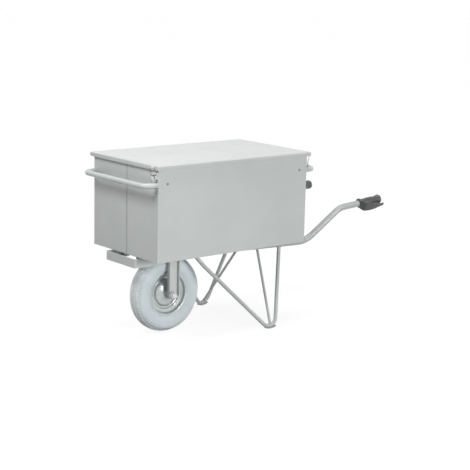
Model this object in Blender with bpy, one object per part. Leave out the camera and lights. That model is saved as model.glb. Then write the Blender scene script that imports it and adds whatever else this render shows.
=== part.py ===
"""A box barrow: a lidded sheet-steel tool box on a tube frame with one wheel, two legs and two handles.

X runs along the cart from the wheel (-X) to the handles (+X), Y across it, Z up, in metres.
Places are worked out from the outer face of the box's front wall (x = 0), the cart's middle plane
(y = 0) and the ground (z = 0). The whole model is then centred over its own length.
"""
import math

import bmesh
import bpy
from mathutils import Matrix, Vector

# Clearance between pieces that touch
GAP = 0.0003

# Wheel
TYRE_RADIUS = 0.200
TYRE_WIDTH = 0.100
RIM_RADIUS = 0.117
WELL_RADIUS = 0.104
HUB_RADIUS = 0.0255
HUB_LENGTH = 0.084
BEARING_RADIUS = 0.021
BEARING_WIDTH = 0.012
AXLE_RADIUS = 0.010
SPACER_WALL = 0.0035
RIM_SHEET = 0.002
WHEEL_X = 0.246
WHEEL_SEGMENTS = 32

# Box
BOX_LENGTH = 0.951
BOX_WIDTH = 0.552
BOX_HEIGHT = 0.467
SHEET = 0.0015
FOLD_RADIUS = 0.006
SEAM = 0.0008
SEAM_Y = -0.014
FLOOR_FLANGE = 0.018
RIM_FLANGE = 0.020
RIM_DEPTH = 0.017
RIM_FLANGE_SHEET = 0.002
TYRE_TOP_ROOM = 0.0315

# Lid and its hinges
LID_OVERHANG = 0.0158
LID_LIP = 0.0205
LID_EDGE_RADIUS = 0.002
LID_LIFT = 0.005
SEAL_WIDTH = 0.012
SEAL_INSET = 0.003
STIFFENER_WIDTH = 0.040
STIFFENER_DEPTH = 0.012
STIFFENER_END_ROOM = 0.040
HINGE_INSET = 0.105
HINGE_KNUCKLES = 9
HINGE_SHEET = 0.0016
KNUCKLE_RADIUS = 0.004
HINGE_PIN_RADIUS = 0.002
HINGE_DROP = 0.003
HINGE_PLATE_HEIGHT = 0.030

# Toggle latches
LATCH_CORNER_INSET = 0.0245
LATCH_WIDTH = 0.038
LATCH_PLATE_HEIGHT = 0.044
LATCH_SHEET = 0.002
LATCH_BELOW_LIP = 0.013
LEVER_HALF_WIDTH = 0.0128
LATCH_PIN_RADIUS = 0.002
LATCH_PIN_DROP = 0.0345
LATCH_PIN_OUT = 0.0115
LEVER_FACE_OUT = 0.0185
LEVER_TAIL = 0.024
HOOP_WIRE_RADIUS = 0.0014
HOOP_PIVOT_DROP = 0.0095
HOOP_PIVOT_OUT = 0.0145
KEEPER_WIDTH = 0.024
KEEPER_REACH = 0.006

# Carrying handles on the end walls
HANDLE_TUBE_RADIUS = 0.01345
HANDLE_TUBE_WALL = 0.002
HANDLE_STANDOFF = 0.068
HANDLE_DROP = 0.0750
HANDLE_BEND_RADIUS = 0.042
HANDLE_TAIL = 0.085
HANDLE_SCREW_INSET = 0.0525
HANDLE_SCREW_RISE = 0.005
SIDE_ROOM = 0.0008

# Main tubes, which rise behind the box as the cart's handles
RAIL_RADIUS = 0.017
RAIL_WALL = 0.002
RAIL_FRONT_X = 0.030
REAR_BEND_ROOM = 0.067
HANDLE_RUN = 0.215
HANDLE_RISE = 0.164
TIP_RUN = 0.248
TIP_SLOPE = 0.114
LOWER_BEND_RADIUS = 0.150
UPPER_BEND_RADIUS = 0.110
GRIP_HALF_SPREAD = 0.279
RAIL_SCREW_INSET = 0.160
REAR_SCREW_INSET = 0.205

# Fork and front bumper
FORK_SIDE_ROOM = 0.009
FORK_DEPTH = 0.020
FORK_WIDTH = 0.050
FORK_SHEET = 0.003
CROWN_THICKNESS = 0.008
BUMPER_REACH = 0.0265
BUMPER_HEIGHT = 0.045
BUMPER_THICKNESS = 0.006
BUMPER_ARM = 0.112
BUMPER_CORNER = 0.009
BRACKET_X = 0.068
BRACKET_LENGTH = 0.040
BRACKET_WIDTH = 0.022
BRACKET_SHEET = 0.0045
BRACKET_SIDE_ROOM = 0.0025

# Legs
LEG_RADIUS = 0.010
LEG_WALL = 0.002
LEG_BEHIND_AXLE = 0.097
LEG_REAR_INSET = 0.099
KNEE_BACK = 0.049
KNEE_DROP = 0.074
FOOT_INSET = 0.257
FOOT_LENGTH = 0.059
FOOT_HALF_TRACK = 0.285
FOOT_TOE_OUT = 0.004
FOOT_BEND_RADIUS = 0.034
KNEE_BEND_RADIUS = 0.060
SHOE_THICKNESS = 0.004
SHOE_WIDTH = 0.024
STRUT_RADIUS = 0.007
STRUT_HALF_GAP = 0.043
CROSS_WIDTH = 0.040
CROSS_THICKNESS = 0.010
CROSS_FRONT_SETBACK = 0.205
CROSS_REAR_SETBACK = 0.038

# Grips
GRIP_LENGTH = 0.142
GRIP_END_WALL = 0.012
GRIP_NECK_RADIUS = 0.0215
GRIP_COLLAR_RADIUS = 0.0265
GRIP_PALM_RADIUS = 0.0240
GRIP_END_RADIUS = 0.0265
GUARD_STANDOFF = 0.046
GUARD_TILT = 30
GUARD_THICKNESS = 0.006
GUARD_FRONT_HEIGHT = 0.046
GUARD_REAR_HEIGHT = 0.020

# M8 button-head screws, and the nuts of the M20 axle
SCREW_RADIUS = 0.004
SCREW_HEAD_RADIUS = 0.007
SCREW_HEAD_HEIGHT = 0.004
SCREW_END = 0.006
NUT_WIDTH = 0.030
NUT_HEIGHT = 0.0125
AXLE_END = 0.002

# Heights and places that follow from the sizes above
FLOOR_Z = 2 * TYRE_RADIUS + TYRE_TOP_ROOM
WALL_TOP = FLOOR_Z + BOX_HEIGHT
LID_UNDER = WALL_TOP + LID_LIFT
LID_TOP = LID_UNDER + SHEET
LIP_BOTTOM = LID_TOP - LID_LIP
HALF_WIDTH = BOX_WIDTH / 2
LID_HALF_WIDTH = HALF_WIDTH + LID_OVERHANG
HINGE_Y = LID_HALF_WIDTH + GAP + KNUCKLE_RADIUS
HINGE_Z = LIP_BOTTOM - HINGE_DROP
HANDLE_Z = LIP_BOTTOM - HANDLE_DROP
HANDLE_Y = HALF_WIDTH - SHEET - SIDE_ROOM - HANDLE_TUBE_RADIUS
LATCH_Y = -(HALF_WIDTH - LATCH_CORNER_INSET)
LATCH_PIN_Z = LIP_BOTTOM - LATCH_PIN_DROP
HOOP_PIVOT_Z = LATCH_PIN_Z - HOOP_PIVOT_DROP
RAIL_Z = FLOOR_Z - GAP - RAIL_RADIUS
FORK_OUTER_Y = TYRE_WIDTH / 2 + FORK_SIDE_ROOM + FORK_DEPTH
FORK_FRONT_X = WHEEL_X - FORK_WIDTH / 2
RAIL_FRONT_Y = FORK_OUTER_Y + 1.02 * RAIL_RADIUS + 2 * GAP
REAR_BEND_X = BOX_LENGTH + REAR_BEND_ROOM
TUBE_END_X = REAR_BEND_X + HANDLE_RUN + TIP_RUN
RAIL_SLOPE = (GRIP_HALF_SPREAD - RAIL_FRONT_Y) / (TUBE_END_X - FORK_FRONT_X)
RAIL_ANGLE = math.atan(RAIL_SLOPE)
FOOT_Z = SHOE_THICKNESS + GAP + LEG_RADIUS
FOOT_FRONT_X = BOX_LENGTH - FOOT_INSET


def rail_y(x):
    """Distance of a main tube's axis from the cart's middle plane."""
    return RAIL_FRONT_Y + (x - FORK_FRONT_X) * RAIL_SLOPE


def bore(radius, segments):
    """Corner radius of a faceted hole that clears a round of this radius by the gap."""
    return (radius + GAP) / math.cos(math.pi / segments)


def clear_scene():
    for obj in list(bpy.data.objects):
        bpy.data.objects.remove(obj, do_unlink=True)


def coat(name, look):
    """A Principled material of a piece's own, from a look: colour, roughness and metallic."""
    colour, roughness, metallic = look
    made = bpy.data.materials.new(name)
    made.use_nodes = True
    shader = made.node_tree.nodes["Principled BSDF"]
    shader.inputs["Base Color"].default_value = (*colour, 1.0)
    shader.inputs["Roughness"].default_value = roughness
    shader.inputs["Metallic"].default_value = metallic
    return made


def empty(name, location, parent=None):
    made = bpy.data.objects.new(name, None)
    bpy.context.collection.objects.link(made)
    made.location = location
    made.parent = parent
    return made


def place(name, bm, parent):
    """Link a mesh as an object whose origin is its parent joint or, on the cart itself, its middle."""
    bmesh.ops.recalc_face_normals(bm, faces=bm.faces)
    origin = Vector(parent.location)
    offset = Vector((0, 0, 0))
    if parent is CART:
        low = Vector([min(v.co[i] for v in bm.verts) for i in range(3)])
        high = Vector([max(v.co[i] for v in bm.verts) for i in range(3)])
        origin = (low + high) / 2
        offset = origin
    bmesh.ops.translate(bm, verts=bm.verts, vec=-origin)
    mesh = bpy.data.meshes.new(name)
    bm.to_mesh(mesh)
    bm.free()
    made = bpy.data.objects.new(name, mesh)
    bpy.context.collection.objects.link(made)
    made.parent = parent
    made.location = offset
    return made


def piece(name, bm, look, parent):
    """A piece of the cart, shaded smooth with sharp corners."""
    made = place(name, bm, parent)
    made.data.shade_smooth()
    made.data.set_sharp_from_angle(angle=math.radians(32))
    made.data.materials.append(coat(name, look))
    return made


def hidden(name, bm):
    """A guide for a Boolean, left out of renders."""
    made = place(name, bm, CART)
    made.hide_render = True
    made.display_type = "WIRE"
    return made


def cut(target, cutter):
    step = target.modifiers.new(cutter.name, "BOOLEAN")
    step.operation = "DIFFERENCE"
    step.solver = "EXACT"
    step.object = cutter


def join(target, other):
    """Fuse a second solid into a piece; that solid stays as a hidden guide."""
    step = target.modifiers.new(other.name, "BOOLEAN")
    step.operation = "UNION"
    step.solver = "EXACT"
    step.object = other


def add_box(bm, low, high):
    middle = (Vector(low) + Vector(high)) / 2
    size = Vector(high) - Vector(low)
    place = Matrix.Translation(middle) @ Matrix.Diagonal((*size, 1.0))
    bmesh.ops.create_cube(bm, size=1.0, matrix=place)


def add_rod(bm, start, end, radius, segments=12):
    """A solid round bar between two points."""
    start = Vector(start)
    run = Vector(end) - start
    place = Matrix.Translation(start + run / 2) @ run.to_track_quat("Z", "Y").to_matrix().to_4x4()
    bmesh.ops.create_cone(bm, cap_ends=True, segments=segments, radius1=radius, radius2=radius,
                          depth=run.length, matrix=place)


def to_plane(point, axis, level):
    """A 2-D outline point on a plane square to an axis."""
    a, b = point
    return {"X": Vector((level, a, b)), "Y": Vector((a, level, b)), "Z": Vector((a, b, level))}[axis]


def add_plate(bm, outline, axis, low, high):
    """Extrude an outline between two levels along an axis; returns the face at the high level."""
    verts = [bm.verts.new(to_plane(point, axis, low)) for point in outline]
    base = bm.faces.new(verts)
    made = bmesh.ops.extrude_face_region(bm, geom=[base], use_keep_orig=True)
    moved = [item for item in made["geom"] if isinstance(item, bmesh.types.BMVert)]
    shift = to_plane((0, 0), axis, high) - to_plane((0, 0), axis, low)
    bmesh.ops.translate(bm, verts=moved, vec=shift)
    return next(item for item in made["geom"] if isinstance(item, bmesh.types.BMFace))


def add_pan(bm, outline, axis, closed_level, open_level, wall, base):
    """A pressed pan: a flat base at the closed level, with walls up to the open level."""
    mouth = add_plate(bm, outline, axis, closed_level, open_level)
    bmesh.ops.recalc_face_normals(bm, faces=bm.faces)
    bmesh.ops.inset_region(bm, faces=[mouth], thickness=wall, use_even_offset=True)
    floor = bmesh.ops.extrude_discrete_faces(bm, faces=[mouth])["faces"][0]
    side = 1 if open_level > closed_level else -1
    depth = closed_level + side * base - open_level
    bmesh.ops.translate(bm, verts=floor.verts, vec=to_plane((0, 0), axis, depth))


def arc(centre, radius, start, end, steps):
    """Points on an arc, angles in degrees."""
    points = []
    for i in range(steps + 1):
        angle = math.radians(start + (end - start) * i / steps)
        points.append((centre[0] + radius * math.cos(angle), centre[1] + radius * math.sin(angle)))
    return points


def round_rectangle(low, high, radius, steps=3):
    """Outline of a rectangle with rounded corners."""
    (x0, y0), (x1, y1) = low, high
    return (arc((x1 - radius, y1 - radius), radius, 0, 90, steps)
            + arc((x0 + radius, y1 - radius), radius, 90, 180, steps)
            + arc((x0 + radius, y0 + radius), radius, 180, 270, steps)
            + arc((x1 - radius, y0 + radius), radius, 270, 360, steps))


def bent_path(corners, radii, steps):
    """(point, direction) pairs: straight runs, with an arc of its own radius at each inner corner."""
    corners = [Vector(corner) for corner in corners]
    path = [(corners[0], (corners[1] - corners[0]).normalized())]
    for before, corner, after, radius in zip(corners, corners[1:], corners[2:], radii):
        back = (before - corner).normalized()
        on = (after - corner).normalized()
        half = back.angle(on) / 2
        centre = corner + (back + on).normalized() * (radius / math.sin(half))
        spoke = corner + back * (radius / math.tan(half)) - centre
        axis = on.cross(back).normalized()
        for i in range(steps + 1):
            turn = Matrix.Rotation((math.pi - 2 * half) * i / steps, 3, axis)
            path.append((centre + turn @ spoke, turn @ -back))
    path.append((corners[-1], (corners[-1] - corners[-2]).normalized()))
    return path


def frames(path, up, level=False):
    """Position, side and up directions at each point of a path. Up turns as little as possible, or stays level."""
    found = []
    turned = up
    for point, along in path:
        start = up if level else turned
        turned = (start - along * start.dot(along)).normalized()
        found.append((point, along.cross(turned), turned))
    return found


def add_loop(bm, frame, section):
    """One closed loop of edges: a section's (side, up) points at one place on a path."""
    point, side, up = frame
    verts = [bm.verts.new(point + side * a + up * b) for a, b in section]
    return [bm.edges.new((verts[i], verts[(i + 1) % len(verts)])) for i in range(len(verts))]


def bridge(bm, loops):
    for first, second in zip(loops, loops[1:]):
        bmesh.ops.bridge_loops(bm, edges=first + second)


def circle(radius, segments):
    return [(radius * math.cos(2 * math.pi * i / segments), radius * math.sin(2 * math.pi * i / segments))
            for i in range(segments)]


def add_pipe(bm, path, radius, wall, segments, up):
    """A round tube along a path; with no wall it is a solid bar."""
    places = frames(path, Vector(up))
    outer = [add_loop(bm, place, circle(radius, segments)) for place in places]
    bridge(bm, outer)
    if wall:
        (first, go), (last, stop) = path[0], path[-1]
        deburred = [(first + go * GAP, go)] + path[1:-1] + [(last - stop * GAP, stop)]
        places = frames(deburred, Vector(up))
        inner = [add_loop(bm, place, circle(radius - wall, segments)) for place in places]
        bridge(bm, inner)
        bridge(bm, [outer[0], inner[0]])
        bridge(bm, [outer[-1], inner[-1]])
    else:
        for loop in (outer[0], outer[-1]):
            bmesh.ops.edgenet_fill(bm, edges=loop)


def add_bar(bm, path, sections, up, level=False):
    """A bar along a path, with a section for each point or one section for all of them."""
    places = frames(path, Vector(up), level)
    if not isinstance(sections[0][0], (tuple, list)):
        sections = [sections] * len(places)
    loops = [add_loop(bm, place, section) for place, section in zip(places, sections)]
    bridge(bm, loops)
    for loop in (loops[0], loops[-1]):
        bmesh.ops.edgenet_fill(bm, edges=loop)


def rectangle(low, high):
    return [(low[0], low[1]), (high[0], low[1]), (high[0], high[1]), (low[0], high[1])]


def add_turned(bm, profile, origin, axis, segments, closed=True):
    """Spin a profile of (radius, along) points about an axis through the origin."""
    origin = Vector(origin)
    axis = Vector(axis).normalized()
    start = axis.orthogonal().normalized()
    verts = [bm.verts.new(origin + start * r + axis * along) for r, along in profile]
    edges = [bm.edges.new(pair) for pair in zip(verts, verts[1:])]
    if closed:
        edges.append(bm.edges.new((verts[-1], verts[0])))
    bmesh.ops.spin(bm, geom=verts + edges, cent=origin, axis=axis, angle=2 * math.pi,
                   steps=segments, use_merge=True)
    if not closed:
        bmesh.ops.remove_doubles(bm, verts=bm.verts, dist=1e-6)


def add_ring(bm, centre, axis, inner, outer, length, segments=12):
    """A plain ring or bush, centred on a point."""
    half = length / 2
    profile = [(inner, -half), (outer, -half), (outer, half), (inner, half)]
    add_turned(bm, profile, centre, axis, segments)


def add_screw(bm, seat, axis, length):
    """A button-head screw: the seat is under its head, and its shank runs along the axis."""
    height = SCREW_HEAD_HEIGHT
    profile = [(0, -height), (SCREW_HEAD_RADIUS * 0.6, -height), (SCREW_HEAD_RADIUS, -height * 0.35),
               (SCREW_HEAD_RADIUS, 0), (SCREW_RADIUS, 0), (SCREW_RADIUS, length), (0, length)]
    add_turned(bm, profile, seat, axis, 12, closed=False)


def end_places():
    """The two end walls: name, x of the outer face, and the direction that points outwards."""
    return (("front", 0.0, -1), ("rear", BOX_LENGTH, 1))


def sides():
    return (("near", -1), ("far", 1))


def rail_screws():
    """Where screws go down through the floor into the main tubes: name and place."""
    return [(f"{end}_{name}", x, side * rail_y(x)) for name, side in sides()
            for end, x in (("front", RAIL_SCREW_INSET), ("rear", BOX_LENGTH - REAR_SCREW_INSET))]


def handle_screws():
    """Screws that hold the carrying handles to the side walls: name, place along x, side."""
    return [(f"{end}_{name}", x - out * HANDLE_SCREW_INSET, side) for name, side in sides()
            for end, x, out in end_places()]


def bumper_inner_y():
    """Inner face of the bumper's arms: just outside the brackets, which clear the main tubes."""
    return rail_y(BRACKET_X + BRACKET_LENGTH / 2) + RAIL_RADIUS + BRACKET_SIDE_ROOM + BRACKET_WIDTH + GAP


def shell_outline(side):
    """Plan of one folded wall: part of each end wall and one side, as a strip of sheet."""
    length, half = BOX_LENGTH, HALF_WIDTH
    radius = FOLD_RADIUS
    edge = -side * SEAM_Y - SEAM / 2
    outer = [(0, edge)]
    outer += arc((radius, radius - half), radius, 180, 270, 4)
    outer += arc((length - radius, radius - half), radius, 270, 360, 4)
    outer += [(length, edge)]
    inner = [(length - SHEET, edge)]
    inner += arc((length - radius, radius - half), radius - SHEET, 360, 270, 4)
    inner += arc((radius, radius - half), radius - SHEET, 270, 180, 4)
    inner += [(SHEET, edge)]
    return [(x, -side * y) for x, y in outer + inner]


def make_shell(name, side):
    bm = bmesh.new()
    add_plate(bm, shell_outline(side), "Z", FLOOR_Z, WALL_TOP)
    shell = piece("box_shell_" + name, bm, PAINT, CART)
    holes = bmesh.new()
    for _, x, out in end_places():
        start = (x - 0.01, side * HANDLE_Y, HANDLE_Z)
        end = (x + 0.01, side * HANDLE_Y, HANDLE_Z)
        add_rod(holes, start, end, bore(HANDLE_TUBE_RADIUS, 12), 12)
        z = HANDLE_Z + HANDLE_SCREW_RISE
        start = (x - out * HANDLE_SCREW_INSET, side * (HALF_WIDTH - 0.01), z)
        end = (x - out * HANDLE_SCREW_INSET, side * (HALF_WIDTH + 0.01), z)
        add_rod(holes, start, end, bore(SCREW_RADIUS, 12), 12)
    cut(shell, hidden("shell_holes_" + name, holes))


def inner_outline(room):
    """Outline inside the walls, rounded to suit the folds."""
    inset = SHEET + room
    return round_rectangle((inset, inset - HALF_WIDTH), (BOX_LENGTH - inset, HALF_WIDTH - inset),
                           FOLD_RADIUS - SHEET, 3)


def make_floor():
    bm = bmesh.new()
    add_pan(bm, inner_outline(GAP), "Z", FLOOR_Z, FLOOR_Z + FLOOR_FLANGE, SHEET, SHEET)
    floor = piece("floor_pan", bm, PAINT, CART)
    holes = bmesh.new()
    for _, x, y in rail_screws():
        add_rod(holes, (x, y, FLOOR_Z - 0.01), (x, y, FLOOR_Z + 0.01), bore(SCREW_RADIUS, 12), 12)
    cut(floor, hidden("floor_holes", holes))


def make_top_rim():
    """An angle section round the mouth of the box, flange inwards."""
    bm = bmesh.new()
    add_pan(bm, inner_outline(GAP), "Z", WALL_TOP, WALL_TOP - RIM_DEPTH, SHEET, RIM_FLANGE_SHEET)
    rim = piece("top_rim", bm, PAINT, CART)
    mouth = bmesh.new()
    add_plate(mouth, inner_outline(GAP + RIM_FLANGE), "Z", WALL_TOP - 0.005, WALL_TOP + 0.005)
    cut(rim, hidden("rim_mouth", mouth))


def make_lid_seal():
    """A flat rubber strip on the rim that the lid rests on."""
    bm = bmesh.new()
    add_plate(bm, inner_outline(SEAL_INSET), "Z", WALL_TOP + GAP, LID_UNDER - GAP)
    seal = piece("lid_seal", bm, RUBBER, CART)
    middle = bmesh.new()
    add_plate(middle, inner_outline(SEAL_INSET + SEAL_WIDTH), "Z", WALL_TOP - 0.005, LID_UNDER + 0.005)
    cut(seal, hidden("seal_middle", middle))


def make_handle(name, x, out):
    """A carrying handle: bent tube whose ends pass through the end wall and are screwed to the side walls."""
    tail = x - out * HANDLE_TAIL
    front = x + out * HANDLE_STANDOFF
    corners = [(tail, HANDLE_Y, HANDLE_Z), (front, HANDLE_Y, HANDLE_Z),
               (front, -HANDLE_Y, HANDLE_Z), (tail, -HANDLE_Y, HANDLE_Z)]
    bm = bmesh.new()
    path = bent_path(corners, (HANDLE_BEND_RADIUS, HANDLE_BEND_RADIUS), 6)
    add_pipe(bm, path, HANDLE_TUBE_RADIUS, HANDLE_TUBE_WALL, 12, (0, 0, 1))
    handle = piece("carry_handle_" + name, bm, PAINT, CART)
    holes = bmesh.new()
    z = HANDLE_Z + HANDLE_SCREW_RISE
    for side in (-1, 1):
        start = (x - out * HANDLE_SCREW_INSET, side * HANDLE_Y, z)
        end = (x - out * HANDLE_SCREW_INSET, side * (HANDLE_Y + HANDLE_TUBE_RADIUS + 0.004), z)
        add_rod(holes, start, end, bore(SCREW_RADIUS, 12), 12)
    cut(handle, hidden("handle_holes_" + name, holes))


def make_screws():
    """Screws into the handles from the sides, and down through the floor into the main tubes."""
    into_handle = HALF_WIDTH + GAP - HANDLE_Y - HANDLE_TUBE_RADIUS + HANDLE_TUBE_WALL + SCREW_END
    for name, x, side in handle_screws():
        bm = bmesh.new()
        seat = (x, side * (HALF_WIDTH + GAP), HANDLE_Z + HANDLE_SCREW_RISE)
        add_screw(bm, seat, (0, -side, 0), into_handle)
        piece("handle_screw_" + name, bm, ZINC, CART)
    floor_top = FLOOR_Z + SHEET + GAP
    into_rail = floor_top - RAIL_Z - RAIL_RADIUS + RAIL_WALL + SCREW_END
    for name, x, y in rail_screws():
        bm = bmesh.new()
        add_screw(bm, (x, y, floor_top), (0, 0, -1), into_rail)
        piece("frame_screw_" + name, bm, ZINC, CART)


def make_lid():
    bm = bmesh.new()
    low = (-LID_OVERHANG, -LID_HALF_WIDTH)
    high = (BOX_LENGTH + LID_OVERHANG, LID_HALF_WIDTH)
    add_pan(bm, round_rectangle(low, high, FOLD_RADIUS, 3), "Z", LID_TOP, LIP_BOTTOM, SHEET, SHEET)
    top = [e for e in bm.edges if all(abs(v.co.z - LID_TOP) < 1e-6 for v in e.verts)]
    bmesh.ops.bevel(bm, geom=top, offset=LID_EDGE_RADIUS, segments=2, profile=0.5, affect="EDGES")
    piece("lid_panel", bm, PAINT, LID_AXIS)


def make_lid_stiffener():
    """A folded channel spot-welded under the middle of the lid, along it."""
    room = SHEET + RIM_FLANGE + STIFFENER_END_ROOM
    top = LID_UNDER - GAP
    low = top - STIFFENER_DEPTH
    half = STIFFENER_WIDTH / 2
    side = [(half, top - SHEET), (half, top), (half * 0.72, top), (half * 0.42, low + SHEET)]
    outline = [(half * 0.5, low)] + side
    outline = outline + [(-y, z) for y, z in reversed(outline)]
    bm = bmesh.new()
    add_plate(bm, outline, "X", room, BOX_LENGTH - room)
    piece("lid_stiffener", bm, PAINT, LID_AXIS)


def knuckles(kind):
    """The middles of one leaf's knuckles: every other one along the hinge."""
    pitch = (BOX_LENGTH - 2 * HINGE_INSET) / HINGE_KNUCKLES
    return [HINGE_INSET + pitch * (i + 0.5) for i in range(kind, HINGE_KNUCKLES, 2)]


def knuckle_length():
    return (BOX_LENGTH - 2 * HINGE_INSET) / HINGE_KNUCKLES - 2 * GAP


def make_hinge():
    """A long hinge on the far wall: an angle leaf on the box, a flat leaf on the lid, and a pin."""
    axis = (1, 0, 0)
    low = HINGE_Z - KNUCKLE_RADIUS
    wall = HALF_WIDTH + GAP
    shelf_end = HINGE_Y - KNUCKLE_RADIUS - 2 * GAP
    foot = low + HINGE_SHEET - HINGE_PLATE_HEIGHT
    half = knuckle_length() / 2
    hole = bore(HINGE_PIN_RADIUS, 12)

    outline = [(wall, foot), (wall + HINGE_SHEET, foot), (wall + HINGE_SHEET, low), (shelf_end, low),
               (shelf_end, low + HINGE_SHEET), (wall, low + HINGE_SHEET)]
    bm = bmesh.new()
    add_plate(bm, outline, "X", HINGE_INSET, BOX_LENGTH - HINGE_INSET)
    box_leaf = piece("hinge_leaf_box", bm, ZINC, CART)
    arms = bmesh.new()
    rings = bmesh.new()
    for x in knuckles(0):
        add_box(arms, (x - half, shelf_end - 0.002, low), (x + half, HINGE_Y, low + HINGE_SHEET))
        add_ring(rings, (x, HINGE_Y, HINGE_Z), axis, hole * 0.8, KNUCKLE_RADIUS, 2 * half, 12)
    join(box_leaf, hidden("hinge_arms", arms))
    join(box_leaf, hidden("box_knuckles", rings))

    face = LID_HALF_WIDTH + GAP
    top = LID_TOP - LID_EDGE_RADIUS
    step = HINGE_Z + KNUCKLE_RADIUS + 2 * GAP
    bm = bmesh.new()
    add_box(bm, (HINGE_INSET, face, step), (BOX_LENGTH - HINGE_INSET, face + HINGE_SHEET, top))
    lid_leaf = piece("hinge_leaf_lid", bm, ZINC, LID_AXIS)
    tabs = bmesh.new()
    rings = bmesh.new()
    for x in knuckles(1):
        add_box(tabs, (x - half, face, HINGE_Z), (x + half, face + HINGE_SHEET, step + 0.002))
        add_ring(rings, (x, HINGE_Y, HINGE_Z), axis, hole * 0.8, KNUCKLE_RADIUS, 2 * half, 12)
    join(lid_leaf, hidden("lid_leaf_tabs", tabs))
    join(lid_leaf, hidden("lid_knuckles", rings))

    drill = bmesh.new()
    add_rod(drill, (0, HINGE_Y, HINGE_Z), (BOX_LENGTH, HINGE_Y, HINGE_Z), hole, 12)
    drill = hidden("hinge_bore", drill)
    cut(box_leaf, drill)
    cut(lid_leaf, drill)
    bm = bmesh.new()
    start = (HINGE_INSET - 0.002, HINGE_Y, HINGE_Z)
    end = (BOX_LENGTH - HINGE_INSET + 0.002, HINGE_Y, HINGE_Z)
    add_rod(bm, start, end, HINGE_PIN_RADIUS, 12)
    piece("hinge_pin", bm, ZINC, CART)


def keeper_tip():
    """How far the keeper's hook stands out from the end wall."""
    return LID_OVERHANG + GAP + KEEPER_REACH


def make_keeper(name, x, out):
    """A hooked plate on the lid's end lip that the hoop pulls on."""
    base = LID_OVERHANG + GAP
    tip = keeper_tip()
    top = LID_TOP - LID_EDGE_RADIUS
    ledge = LIP_BOTTOM + 0.0015
    profile = [(base, top), (base, ledge), (tip, ledge), (tip, ledge + 0.005), (tip - SHEET, ledge + 0.005),
               (tip - SHEET, ledge + SHEET), (base + SHEET, ledge + SHEET), (base + SHEET, top)]
    outline = [(x + out * a, b) for a, b in profile]
    bm = bmesh.new()
    add_plate(bm, outline, "Y", LATCH_Y - KEEPER_WIDTH / 2, LATCH_Y + KEEPER_WIDTH / 2)
    piece("latch_keeper_" + name, bm, ZINC, LID_AXIS)


def make_latch_base(name, x, out):
    """A bent plate on the end wall, with two ears that hold the lever's pin."""
    bm = bmesh.new()
    base = GAP
    top = LIP_BOTTOM - LATCH_BELOW_LIP
    ear = 0.0085
    half = LATCH_WIDTH / 2
    face = base + LATCH_SHEET
    reach = LATCH_PIN_OUT + 0.005
    outline = [(-half, base), (half, base), (half, face), (hoop_room() + LATCH_SHEET, face),
               (hoop_room() + LATCH_SHEET, reach), (hoop_room(), reach), (hoop_room(), face),
               (-hoop_room(), face), (-hoop_room(), reach), (-hoop_room() - LATCH_SHEET, reach),
               (-hoop_room() - LATCH_SHEET, face), (-half, face)]
    outline = [(x + out * b, LATCH_Y + a) for a, b in outline]
    add_plate(bm, outline, "Z", LATCH_PIN_Z - ear, LATCH_PIN_Z + ear)
    latch_base = piece("latch_base_" + name, bm, ZINC, CART)
    plate = bmesh.new()
    ends = sorted((x + out * base, x + out * face))
    add_box(plate, (ends[0], LATCH_Y - half, top - LATCH_PLATE_HEIGHT), (ends[1], LATCH_Y + half, top))
    join(latch_base, hidden("latch_plate_" + name, plate))
    holes = bmesh.new()
    pin_x = x + out * LATCH_PIN_OUT
    add_rod(holes, (pin_x, LATCH_Y - half, LATCH_PIN_Z), (pin_x, LATCH_Y + half, LATCH_PIN_Z),
            bore(LATCH_PIN_RADIUS, 8), 8)
    cut(latch_base, hidden("latch_base_holes_" + name, holes))


def hoop_leg_y():
    """Half distance between the hoop's legs, which run just outside the lever."""
    return LEVER_HALF_WIDTH + GAP + HOOP_WIRE_RADIUS


def hoop_room():
    """Inner face of the base's ears, just outside the hoop's legs."""
    return hoop_leg_y() + HOOP_WIRE_RADIUS + GAP


def make_latch_pin(name, x, out):
    reach = hoop_room() + LATCH_SHEET + 0.001
    pin_x = x + out * LATCH_PIN_OUT
    bm = bmesh.new()
    add_rod(bm, (pin_x, LATCH_Y - reach, LATCH_PIN_Z), (pin_x, LATCH_Y + reach, LATCH_PIN_Z),
            LATCH_PIN_RADIUS, 8)
    piece("latch_pin_" + name, bm, ZINC, CART)


def make_lever(name, x, out, parent):
    """The lever: a channel on the pin, with a flat tail to pull on."""
    bm = bmesh.new()
    half = LEVER_HALF_WIDTH
    root = LATCH_PIN_OUT - 0.004
    face = LEVER_FACE_OUT
    sheet = LATCH_SHEET
    outline = [(-half, root), (-half + sheet, root), (-half + sheet, face - sheet),
               (half - sheet, face - sheet), (half - sheet, root), (half, root), (half, face), (-half, face)]
    outline = [(x + out * b, LATCH_Y + a) for a, b in outline]
    add_plate(bm, outline, "Z", HOOP_PIVOT_Z - 0.0045, LATCH_PIN_Z + 0.0045)
    lever = piece("latch_lever_" + name, bm, ZINC, parent)
    tail = bmesh.new()
    ends = sorted((x + out * (face - sheet), x + out * face))
    add_box(tail, (ends[0], LATCH_Y - half, LATCH_PIN_Z - LEVER_TAIL),
            (ends[1], LATCH_Y + half, LATCH_PIN_Z - 0.002))
    join(lever, hidden("lever_tail_" + name, tail))
    holes = bmesh.new()
    pin_x = x + out * LATCH_PIN_OUT
    add_rod(holes, (pin_x, LATCH_Y - 0.02, LATCH_PIN_Z), (pin_x, LATCH_Y + 0.02, LATCH_PIN_Z),
            bore(LATCH_PIN_RADIUS, 8), 8)
    pivot_x = x + out * HOOP_PIVOT_OUT
    add_rod(holes, (pivot_x, LATCH_Y - 0.02, HOOP_PIVOT_Z), (pivot_x, LATCH_Y + 0.02, HOOP_PIVOT_Z),
            bore(HOOP_WIRE_RADIUS, 8), 8)
    cut(lever, hidden("lever_holes_" + name, holes))


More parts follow.
